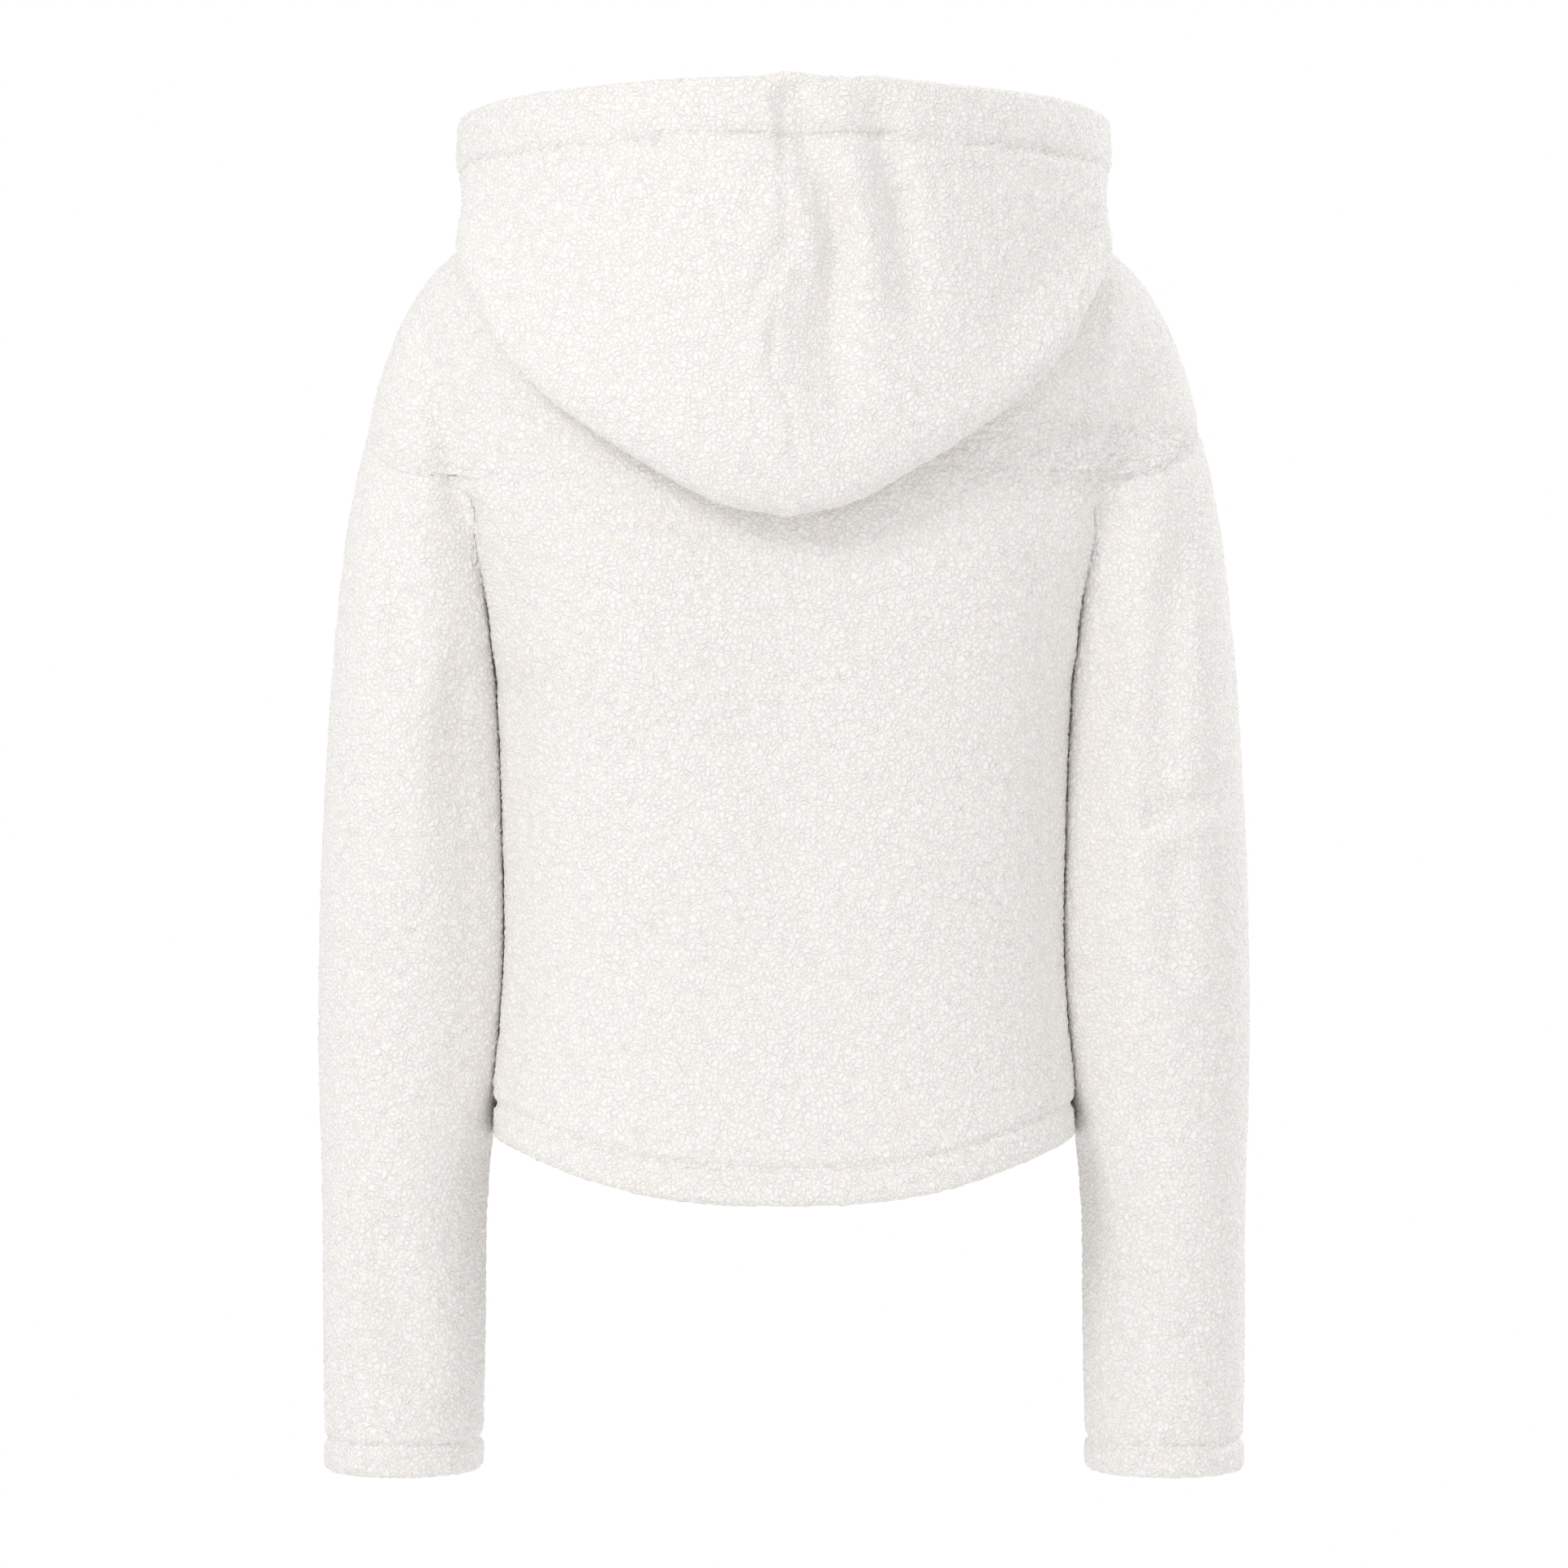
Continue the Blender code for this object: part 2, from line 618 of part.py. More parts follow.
def seam_shifts(pieces, normals):
    """How far each border point moves into its own piece, so that pieces stay apart at seams.

    It moves square to the seam's inner side. Where three pieces meet it also moves away from the
    other two.
    """
    meeting = {}
    for piece in pieces:
        for i, j in np.ndindex(piece.outer.shape[:2]):
            borders = piece.borders(i, j)
            if borders:
                key = point_key(piece.outer[i, j])
                meeting.setdefault(key, []).append((piece, i, j, borders))
    shifts = {piece.name: np.zeros_like(piece.outer) for piece in pieces}
    for key, entries in meeting.items():
        inward = [unit(sum(unit(step) for _, step in borders)) for *_, borders in entries]
        for n, (piece, i, j, borders) in enumerate(entries):
            if len(entries) == 1:
                continue
            shift = np.zeros(3)
            for border, step in borders:
                square = unit(np.cross(border, normals[key]))
                shift += square * (1 if square @ step > 0 else -1)
            if len(entries) > 2:
                others = [other for m, other in enumerate(inward) if m != n]
                shift = unit(shift) + 0.7 * unit(inward[n] - np.mean(others, axis=0))
            shifts[piece.name][i, j] = SEAM_GAP / 2 * shift
    return shifts


def cloth_pieces():
    """All pattern pieces on the folded skin."""
    back = body_quarter(1)
    front = opened_for_zip(body_quarter(-1))
    neck = np.concatenate([back[0], front[0, ::-1][1:]])
    hood = hood_half(neck, back, front)
    sleeve = sleeve_tube(back, front)
    whole_back = np.concatenate([mirrored(back), back[:, 1:]], axis=1)
    return [
        Cloth("back", "shell", whole_back, (-1, -2)),
        Cloth("front_left", "shell", front[:, ::-1], (-1, -2)),
        Cloth("front_right", "shell", mirrored(front[:, ::-1]), (-1, -2)),
        Cloth("sleeve_left", "shell", sleeve[:, ::-1], (-1, -2), ring=True),
        Cloth("sleeve_right", "shell", mirrored(sleeve[:, ::-1]), (-1, -2), ring=True),
        Cloth("hood_left", "hood", hood[::-1], (0,)),
        Cloth("hood_right", "hood", mirrored(hood[::-1]), (0,)),
    ]


# Objects


def add_material(name, colour, roughness, metallic=0.0):
    material = bpy.data.materials.new(name)
    material.use_nodes = True
    shader = material.node_tree.nodes["Principled BSDF"]
    shader.inputs["Base Color"].default_value = colour
    shader.inputs["Roughness"].default_value = roughness
    shader.inputs["Metallic"].default_value = metallic
    material.diffuse_color = colour
    return material


def add_object(name, mesh, material, collection):
    mesh.materials.append(material)
    mesh.shade_smooth()
    mesh.set_sharp_from_angle(angle=math.radians(40))
    thing = bpy.data.objects.new(name, mesh)
    collection.objects.link(thing)
    return thing


def seam_order(point):
    x, y, z = np.round(point, 6)
    return z, y, abs(x)


def wall_mesh(name, outer, inner, ring, skin):
    """A closed wall between two grids of points.

    skin holds the outer points before they moved apart at the seams. It settles which way each border
    face is split, so that the faces on both sides of a seam match.
    """
    rows, columns = outer.shape[:2]
    points = np.concatenate([outer.reshape(-1, 3), inner.reshape(-1, 3)])
    inside = rows * columns

    def at(i, j):
        return i * columns + j % columns

    faces = []
    spans = columns if ring else columns - 1
    for i in range(rows - 1):
        for j in range(spans):
            quad = [at(i, j), at(i, j + 1), at(i + 1, j + 1), at(i + 1, j)]
            faces.append(quad)
            faces.append([inside + k for k in reversed(quad)])
    edges = [(at(0, j + 1), at(0, j)) for j in range(spans)]
    edges += [(at(rows - 1, j), at(rows - 1, j + 1)) for j in range(spans)]
    if not ring:
        edges += [(at(i, 0), at(i + 1, 0)) for i in range(rows - 1)]
        edges += [(at(i + 1, columns - 1), at(i, columns - 1)) for i in range(rows - 1)]
    flat_skin = skin.reshape(-1, 3)
    for a, b in edges:
        if seam_order(flat_skin[a]) > seam_order(flat_skin[b]):
            faces += [[a, b, inside + b], [a, inside + b, inside + a]]
        else:
            faces += [[a, b, inside + a], [b, inside + b, inside + a]]
    mesh = bpy.data.meshes.new(name)
    mesh.from_pydata([tuple(p) for p in points], [], faces)
    return mesh


def add_cloth(collection):
    """Adds every pattern piece and gives back the inner side of the left front."""
    pieces = cloth_pieces()
    normals = shared_normals(pieces)
    shifts = seam_shifts(pieces, normals)
    for piece in pieces:
        outer = piece.outer.copy()
        inner = piece.outer.copy()
        for i, j in np.ndindex(outer.shape[:2]):
            normal = normals[point_key(piece.outer[i, j])]
            outer[i, j] -= normal * fold_depth(piece.outer[i, j], normal, piece.layer)
            inner[i, j] = outer[i, j] - normal * piece.thick[i, j]
        outer += shifts[piece.name]
        inner += shifts[piece.name]
        material = add_material(piece.name, CLOTH_COLOUR, 0.95)
        mesh = wall_mesh(piece.name, outer, inner, piece.ring, piece.outer)
        add_object(piece.name, mesh, material, collection)
        if piece.name == "front_left":
            front_inner = inner
    return front_inner


def zip_rows(front_inner):
    """The left front's inner side beside its edge, from the zip's top to its end.

    Gives the edge's points, unit steps from them into the front, and normals into the garment.
    """
    edge = front_inner[:, -1]
    bottom = edge[-1, 2] + ZIP_END_RISE
    between = edge[(edge[:, 2] < ZIP_TOP_Z - 0.003) & (edge[:, 2] > bottom + 0.003), 2]
    heights = -np.concatenate([[ZIP_TOP_Z], between, [bottom]])
    points, beside = (
        np.column_stack([np.interp(heights, -edge[:, 2], column[:, k]) for k in range(3)])
        for column in (edge, front_inner[:, -2])
    )
    steps = beside - points
    steps /= np.linalg.norm(steps, axis=1)[:, None]
    tangents = np.gradient(points, axis=0)
    normals = np.cross(steps, tangents)
    normals /= np.linalg.norm(normals, axis=1)[:, None]
    return points, steps, normals


def tape_mesh(name, rows, side):
    points, steps, normals = rows
    start = CHAIN_HALF + CLEARANCE - SLOT
    end = TAPE_OUT - SLOT
    grids = []
    for behind in (TAPE_BEHIND, TAPE_BEHIND + TAPE_THICK):
        moved = points + normals * behind
        grids.append(np.stack([moved + steps * end, moved + steps * start], axis=1))
    if side < 0:
        grids = [mirrored(grid) for grid in grids]
    return wall_mesh(name, grids[0], grids[1], False, grids[0])


def chain_mesh(rows, top):
    points, _, normals = rows
    middle = points + normals * (TAPE_BEHIND + TAPE_THICK / 2)
    start = np.array([np.interp(-top, -middle[:, 2], middle[:, k]) for k in range(3)])
    middle = np.vstack([start, middle[middle[:, 2] < top - 0.002]])
    normals = np.gradient(middle, axis=0)[:, [0, 2, 1]] * (0, -1, 1)
    normals /= np.linalg.norm(normals, axis=1)[:, None]
    middle[:, 0] = 0
    across = np.array([CHAIN_HALF, 0, 0])
    grids = []
    for depth in (-CHAIN_THICK / 2, CHAIN_THICK / 2):
        moved = middle + normals * depth
        grids.append(np.stack([moved + across, moved - across], axis=1))
    return wall_mesh("zip_chain", grids[0], grids[1], False, grids[0])


def add_box(name, size, centre):
    bpy.ops.mesh.primitive_cube_add(size=1)
    box = bpy.context.object
    box.name = name
    box.data.transform(Matrix.Translation(centre) @ Matrix.Diagonal((*size, 1)))
    return box


def add_rod(name, radius, length, centre, sides):
    """A round rod along X."""
    bpy.ops.mesh.primitive_cylinder_add(radius=radius, depth=length, vertices=sides)
    rod = bpy.context.object
    rod.name = name
    rod.data.transform(Matrix.Translation(centre) @ Matrix.Rotation(math.pi / 2, 4, "Y"))
    return rod


def combined(base, others, operation):
    """base with the others joined to it or cut from it, and the others removed."""
    for other in others:
        step = base.modifiers.new(other.name, "BOOLEAN")
        step.object = other
        step.operation = operation
    graph = bpy.context.evaluated_depsgraph_get()
    mesh = bpy.data.meshes.new_from_object(base.evaluated_get(graph))
    for thing in (base, *others):
        bpy.data.objects.remove(thing, do_unlink=True)
    return mesh


def slider_mesh():
    plate_y = SLIDER_GAP / 2 + PLATE / 2
    plate = (SLIDER_WIDTH, PLATE, SLIDER_LENGTH)
    front = add_box("front plate", plate, (0, -plate_y, 0))
    back = add_box("back plate", plate, (0, plate_y, 0))
    bridge_z = (SLIDER_LENGTH - BRIDGE_LENGTH) / 2
    bridge = add_box(
        "bridge", (BRIDGE_WIDTH, SLIDER_GAP + PLATE, BRIDGE_LENGTH), (0, 0, bridge_z)
    )
    root = SLIDER_GAP / 2 + PLATE / 2
    reach = PIN_OUT + EAR_HALF
    ears = [
        add_box(
            f"ear {side}",
            (EAR_THICK, reach - root, 2 * EAR_HALF),
            (side * (EAR_INSIDE + EAR_THICK / 2), -(reach + root) / 2, PIN_UP),
        )
        for side in (-1, 1)
    ]
    pin_length = 2 * EAR_INSIDE + EAR_THICK
    pin = add_rod("pin", PIN_RADIUS, pin_length, (0, -PIN_OUT, PIN_UP), 12)
    return combined(front, [back, bridge, *ears, pin], "UNION")


def pull_mesh():
    """The pull tab around its hinge axis at the origin, hanging along -Z."""
    eye = add_rod("eye", EYE_RADIUS, 2 * EYE_HALF_WIDTH, (0, 0, 0), 20)
    neck_length = TAB_START + TAB_THICK
    neck = add_box(
        "neck", (2 * EYE_HALF_WIDTH, TAB_THICK, neck_length), (0, 0, -neck_length / 2)
    )
    length = TAB_END - TAB_START
    tab = add_box("tab", (TAB_WIDTH, TAB_THICK, length), (0, 0, -TAB_START - length / 2))
    solid = combined(eye, [neck, tab], "UNION")
    whole = bpy.data.objects.new("pull", solid)
    bpy.context.scene.collection.objects.link(whole)
    hole = add_rod("hole", EYE_HOLE, 4 * EYE_HALF_WIDTH, (0, 0, 0), 16)
    return combined(whole, [hole], "DIFFERENCE")


def slider_place(rows):
    """Where the slider rides on the zip, as a matrix whose Z runs up along the chain."""
    points, _, normals = rows
    middle = points + normals * (TAPE_BEHIND + TAPE_THICK / 2)
    ends = [
        np.interp(-(SLIDER_Z + side * SLIDER_LENGTH / 2), -middle[:, 2], middle[:, 1])
        for side in (-1, 1)
    ]
    slope = math.atan2(ends[1] - ends[0], SLIDER_LENGTH)
    here = (0, sum(ends) / 2, SLIDER_Z)
    return Matrix.Translation(here) @ Matrix.Rotation(-slope, 4, "X"), middle[-1]


def add_zip(front_inner, collection):
    rows = zip_rows(front_inner)
    tape = add_material("zip_tape", TAPE_COLOUR, 0.8)
    metal = add_material("zip_metal", METAL_COLOUR, 0.3, 1.0)
    for name, side in (("zip_tape_left", 1), ("zip_tape_right", -1)):
        add_object(name, tape_mesh(name, rows, side), tape, collection)
    chain_top = SLIDER_Z + SLIDER_LENGTH / 2 - BRIDGE_LENGTH - 2 * CLEARANCE
    add_object("zip_chain", chain_mesh(rows, chain_top), metal, collection)

    place, end = slider_place(rows)
    slider = slider_mesh()
    slider.transform(place)
    add_object("zip_slider", slider, metal, collection)
    pull = pull_mesh()
    pin = Matrix.Translation((0, -PIN_OUT, PIN_UP))
    pull.transform(place @ pin @ Matrix.Rotation(PULL_TILT, 4, "X"))
    add_object("zip_pull", pull, metal, collection)

    box = combined(add_box("box", BOX_SIZE, (0, 0, 0)), [], "UNION")
    box.transform(Matrix.Translation((0, end[1], end[2] - BOX_SIZE[2] / 2 - CLEARANCE)))
    add_object("zip_box", box, metal, collection)


def main():
    for thing in list(bpy.data.objects):
        bpy.data.objects.remove(thing, do_unlink=True)
    collection = bpy.data.collections.new("teddy_zip_hoodie")
    bpy.context.scene.collection.children.link(collection)
    add_zip(add_cloth(collection), collection)


main()
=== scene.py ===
"""Teddy fleece zip-up hoodie: the finish of every piece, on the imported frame.

Metres, +Z up. The wearer faces -Y and the wearer's left is +X. The cloth is worked out from the same
sizes and tables as the solids, on a finer grid, with its creases, seams, turned hems and pile.
"""

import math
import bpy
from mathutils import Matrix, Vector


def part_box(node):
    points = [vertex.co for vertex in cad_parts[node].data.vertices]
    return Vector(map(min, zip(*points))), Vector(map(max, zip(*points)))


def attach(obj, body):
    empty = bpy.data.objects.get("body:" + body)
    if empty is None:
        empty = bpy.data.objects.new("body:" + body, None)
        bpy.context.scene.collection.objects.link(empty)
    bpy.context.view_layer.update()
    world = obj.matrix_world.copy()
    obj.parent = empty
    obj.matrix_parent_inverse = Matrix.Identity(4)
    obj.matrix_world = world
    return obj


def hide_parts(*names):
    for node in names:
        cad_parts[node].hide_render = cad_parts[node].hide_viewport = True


bl_info = {
    "name": "Teddy zip hoodie",
    "version": (1, 0, 0),
    "blender": (4, 5, 0),
    "location": "3D View > Sidebar > Hoodie",
    "description": "Makes the cloth, zip, sewing and stage of a teddy fleece zip hoodie on its frame",
    "category": "Object",
}

from collections import namedtuple

import bmesh
import bpy
import numpy as np
from mathutils import Matrix, Vector
from mathutils.kdtree import KDTree

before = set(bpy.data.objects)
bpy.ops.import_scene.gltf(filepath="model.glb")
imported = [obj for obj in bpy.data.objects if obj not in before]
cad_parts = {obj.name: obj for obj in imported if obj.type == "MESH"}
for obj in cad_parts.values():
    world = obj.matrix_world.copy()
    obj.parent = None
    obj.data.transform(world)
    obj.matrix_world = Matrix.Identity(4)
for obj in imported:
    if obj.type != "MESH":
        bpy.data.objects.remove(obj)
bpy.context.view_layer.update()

# Cloth
WALL = 0.005  # fleece with its pile
HEM_WALL = 0.0085  # fleece turned up double
HEM_DEPTH = 0.020
CUFF_HEM_DEPTH = 0.018
RIM_HEM_DEPTH = 0.031  # around the hood's opening

# Torso
BACK_SQUARENESS = 2.6  # exponent of the rounded section: 2 is an ellipse
FRONT_SQUARENESS = 2.4
NECK_SQUARENESS = 2.0
SHOULDER_SQUARENESS = 2.4
UNDERARM_Z = -0.247
HEM_SIDE_Z = -0.484
HEM_BACK_DROP = 0.029
HEM_FRONT_DROP = 0.020
HEM_DROP_POWER = 3.5
VALLEY_TOP_Z = -0.015  # above this the shoulder is one dome, with no fold beside the arm
VALLEY_FULL_Z = -0.110

# Sleeves
CUFF_Z = -0.667
SLEEVE_LEVEL_Z = -0.300  # from here down, the sleeve's rings are level

# Hood
HOOD_AXIS_Y = -0.010
STAND_RISE = 0.014
ROLL_RISE = 0.026
ROLL_OUT = 0.013
ROLL_LENGTH = 0.030  # along the shoulder from the neck seam to where the hood lies on it
HOOD_REST = 0.0030  # between the hood and the shoulders under it
LIE_POINTS = 6
BELLY_SHARE = 0.35  # of the height from the pouch's fold to the rim
PROFILE_ROWS = (1, 2, 1, 1, 1, 1, 1, 1, 2, 2, 2, 2)

# Zip
SLOT = 0.0055  # half the gap between the front edges
TAPE_THICK = 0.0008
TAPE_CORD = 0.0010  # radius of the cord along the tape's inner edge
TOOTH_PITCH = 0.0024  # of one side's teeth
TOOTH_SIZE = (0.0042, 0.0025, 0.00112)
TOOTH_REACH = 0.0007  # past the middle, between the other side's teeth
SLIDER_Z = -0.0575
SLIDER_WIDTH = 0.009
SLIDER_FOOT = 0.0066  # its width at the lower end
SLIDER_LENGTH = 0.012
SLIDER_GAP = 0.0040
PLATE = 0.0013
BRIDGE_WIDTH = 0.0038
BRIDGE_LENGTH = 0.0048
PIN_OUT = 0.0058
PIN_UP = 0.0012
PIN_RADIUS = 0.00075
EAR_INSIDE = 0.0015
EAR_THICK = 0.0009
EAR_HALF = 0.0016
EAR_FOOT = 0.0030
EYE_HOLE = 0.00105
EYE_RADIUS = 0.0022
EYE_HALF_WIDTH = 0.0012
TAB_WIDTH = 0.0060
TAB_NECK = 0.0036
TAB_THICK = 0.0014
TAB_END = 0.0250
PULL_TILT = math.radians(5)
TOPSTITCH = 0.0070  # from the zip's fold

# Finish of the cloth
SEAM_SINK = 0.0022
SEAM_WIDTH = 0.0035
SEAM_LAP = 0.0005  # how far two pieces run into each other at a seam, so that no light shows through
SHARP_ANGLE = math.radians(55)  # a fold sharper than this is drawn as an edge
PRESS_MESH = 0.0005  # how far the pile of the sleeves and the body meshes where they are pressed together
PRESS_CLOSED = 0.010  # a gap up to this wide is closed
PRESS_REACH = 0.030  # and one this wide is left as it is
PRESS_NEIGHBOURS = 8  # points that are averaged, so that the grid doesn't show
STITCH_SINK = 0.0020
STITCH_WIDTH = 0.0022
HEM_PUFF = 0.0008
NUB_ROUND = 0.36  # how far up its slope a nub is rounded, as a share of its width
HEM_EASE = 0.03  # the last stretch, over which each column is shortened to fit the hem's fold
SEAM_STRIDE = 4  # grid points from one measured distance to the next
SEAM_EASE = 0.014  # how far from a seam two pieces' directions are eased into each other
EDGE_ROUND = 0.0045
FOLD_ROWS = 7
TURN_UP_STEP = 0.003  # from row to row inside the hem
INSIDE_STEP = 0.010  # from row to row on the rest of the inside
THREAD_RADIUS = 0.00032
THREAD_SINK = 0.0003  # below the cloth's outer face
STITCH_LENGTH = 0.0029
STITCH_STEP = 0.0036
SEWING_SPACING = 0.004
TAPE_RIB = 0.0009
KNIT_WALE = 0.0016  # drawn about twice as coarse as real jersey, so that it shows

BODY = "hoodie"

# Stage, with the camera level behind the garment, as in the photograph
METRES_PER_PIXEL = 0.00044
PHOTO_PIXELS = 1932
SENSOR = 36.0
CAMERA_DISTANCE = 2.7
VIEW_CENTRE = Vector((0, 0, -0.293))
FLOOR_Z = -1.43  # the garment hangs at the height of a standing wearer
FLOOR_SIZE = 8.8  # a round floor, which ends below the photograph's frame
ROOM_LIGHT = 0.87
Lamp = namedtuple("Lamp", "name place size power")
LAMPS = [
    Lamp("key", (1.7, 2.4, 1.5), 0.9, 24),
    Lamp("front fill", (-2.2, -1.7, 1.5), 0.9, 30),
]

# The skin's control grid
COLUMNS = 14
TORSO_ROWS = 9
LEVEL_ROWS = 10
SLEEVE_TOP_ROWS = 6

# The shoulder seam from the neck to the sleeve, with the heights where each row meets the centre lines
ShoulderRow = namedtuple("ShoulderRow", "seam_x seam_y seam_z back_z front_z")
SHOULDER_ROWS = [
    ShoulderRow(0.0920, -0.010, 0.024, 0.015, -0.0450),
    ShoulderRow(0.1120, -0.009, 0.0215, 0.008, -0.0510),
    ShoulderRow(0.1350, -0.008, 0.016, -0.003, -0.0580),
    ShoulderRow(0.1580, -0.006, 0.007, -0.018, -0.0660),
    ShoulderRow(0.1780, -0.004, -0.006, -0.034, -0.0740),
    ShoulderRow(0.1950, -0.002, -0.0235, -0.050, -0.0820),
    ShoulderRow(0.2080, -0.001, -0.046, -0.066, -0.0880),
    ShoulderRow(0.2180, 0.000, -0.071, -0.082, -0.0935),
    ShoulderRow(0.2244, 0.000, -0.099, -0.099, -0.0990),
]

# The armhole seam from the tip of the shoulder: first over the arm, then down in the fold beside it
ArmholeRow = namedtuple("ArmholeRow", "z arm_angle")
ARMHOLE_ROWS = [
    ArmholeRow(-0.1105, 23),
    ArmholeRow(-0.1200, 46),
    ArmholeRow(-0.1275, 69),
    ArmholeRow(-0.1325, 92),
    ArmholeRow(-0.1420, None),
    ArmholeRow(-0.1630, None),
    ArmholeRow(-0.1840, None),
    ArmholeRow(-0.2050, None),
    ArmholeRow(-0.2260, None),
    ArmholeRow(UNDERARM_Z, None),
]

LinePoint = namedtuple("LinePoint", "z y")
CENTRE_BACK = [
    LinePoint(0.015, 0.080),
    LinePoint(0.008, 0.091),
    LinePoint(-0.003, 0.099),
    LinePoint(-0.018, 0.104),
    LinePoint(-0.050, 0.110),
    LinePoint(-0.099, 0.1145),
    LinePoint(-0.160, 0.116),
    LinePoint(-0.247, 0.112),
    LinePoint(-0.313, 0.106),
    LinePoint(-0.392, 0.102),
    LinePoint(-0.440, 0.104),
    LinePoint(-0.513, 0.111),
]
CENTRE_FRONT = [
    LinePoint(-0.045, -0.100),
    LinePoint(-0.066, -0.109),
    LinePoint(-0.099, -0.117),
    LinePoint(-0.142, -0.122),
    LinePoint(-0.201, -0.125),
    LinePoint(-0.247, -0.124),
    LinePoint(-0.313, -0.119),
    LinePoint(-0.392, -0.113),
    LinePoint(-0.440, -0.112),
    LinePoint(-0.513, -0.114),
]

TorsoRing = namedtuple("TorsoRing", "z half_width")
TORSO = [
    TorsoRing(0.024, 0.165),
    TorsoRing(-0.020, 0.178),
    TorsoRing(-0.060, 0.184),
    TorsoRing(-0.099, 0.184),
    TorsoRing(-0.142, 0.180),
    TorsoRing(-0.201, 0.162),
    TorsoRing(UNDERARM_Z, 0.1520),
    TorsoRing(-0.262, 0.1504),
    TorsoRing(-0.313, 0.1490),
    TorsoRing(-0.392, 0.1480),
    TorsoRing(-0.440, 0.1515),
    TorsoRing(-0.480, 0.1565),
    TorsoRing(-0.513, 0.1600),
]

SleeveRing = namedtuple("SleeveRing", "z inner_x outer_x mid_y half_depth")
SLEEVE = [
    SleeveRing(0.020, 0.0500, 0.1500, 0.000, 0.030),
    SleeveRing(-0.020, 0.0700, 0.1930, 0.000, 0.042),
    SleeveRing(-0.060, 0.0950, 0.2140, 0.000, 0.056),
    SleeveRing(-0.099, 0.1200, 0.2244, 0.000, 0.063),
    SleeveRing(-0.142, 0.1400, 0.2340, 0.000, 0.067),
    SleeveRing(-0.201, 0.1485, 0.2415, 0.000, 0.070),
    SleeveRing(UNDERARM_Z, 0.1520, 0.2455, 0.000, 0.070),
    SleeveRing(-0.262, 0.1525, 0.2465, 0.000, 0.0695),
    SleeveRing(-0.313, 0.1500, 0.2495, 0.000, 0.066),
    SleeveRing(-0.392, 0.1490, 0.2520, -0.002, 0.060),
    SleeveRing(-0.440, 0.1525, 0.2525, -0.004, 0.055),
    SleeveRing(-0.480, 0.1577, 0.2515, -0.006, 0.052),
    SleeveRing(-0.510, 0.1610, 0.2508, -0.008, 0.050),
    SleeveRing(-0.581, 0.1626, 0.2508, -0.013, 0.047),
    SleeveRing(CUFF_Z, 0.1650, 0.2502, -0.020, 0.045),
]

# The hood around its upright axis, by azimuth from the side (0) to the back (90) or the front (-90).
# pouch says how much it rolls over and hangs, bottom_z is where the pouch ends on the shoulders, turn is
# the width of its lower fold.
HoodProfile = namedtuple("HoodProfile", "azimuth pouch bottom_z turn belly_r rim_r rim_z")
HOOD = [
    HoodProfile(-90, 0.00, -0.050, 0.014, 0.103, 0.106, -0.004),
    HoodProfile(-60, 0.30, -0.048, 0.014, 0.119, 0.123, 0.030),
    HoodProfile(-30, 0.85, -0.022, 0.014, 0.151, 0.155, 0.056),
    HoodProfile(0, 1.00, 0.003, 0.012, 0.1755, 0.1765, 0.067),
    HoodProfile(12, 1.00, -0.004, 0.013, 0.1775, 0.1755, 0.068),
    HoodProfile(22, 1.00, -0.021, 0.015, 0.1790, 0.1725, 0.069),
    HoodProfile(32, 1.00, -0.048, 0.018, 0.1765, 0.169, 0.0695),
    HoodProfile(40, 1.00, -0.078, 0.022, 0.1755, 0.167, 0.0695),
    HoodProfile(50, 1.00, -0.104, 0.026, 0.172, 0.165, 0.0693),
    HoodProfile(65, 1.00, -0.132, 0.030, 0.169, 0.164, 0.0700),
    HoodProfile(77, 1.00, -0.149, 0.032, 0.168, 0.165, 0.0700),
    HoodProfile(90, 1.00, -0.155, 0.032, 0.168, 0.166, 0.0698),
]

# The hood's centre seam strays from the middle by x
SeamPoint = namedtuple("SeamPoint", "z x")
HOOD_SEAM = [
    SeamPoint(0.070, 0.0),
    SeamPoint(0.020, -0.0010),
    SeamPoint(-0.010, -0.0016),
    SeamPoint(-0.030, 0.0014),
    SeamPoint(-0.055, 0.0046),
    SeamPoint(-0.080, 0.0052),
    SeamPoint(-0.105, -0.0040),
    SeamPoint(-0.125, -0.0058),
    SeamPoint(-0.155, -0.0060),
]

CREASE_SCALE = 1.35  # all creases are this much deeper than listed
HOOD_CREASE_Y = 0.03  # the hood's creases are behind this

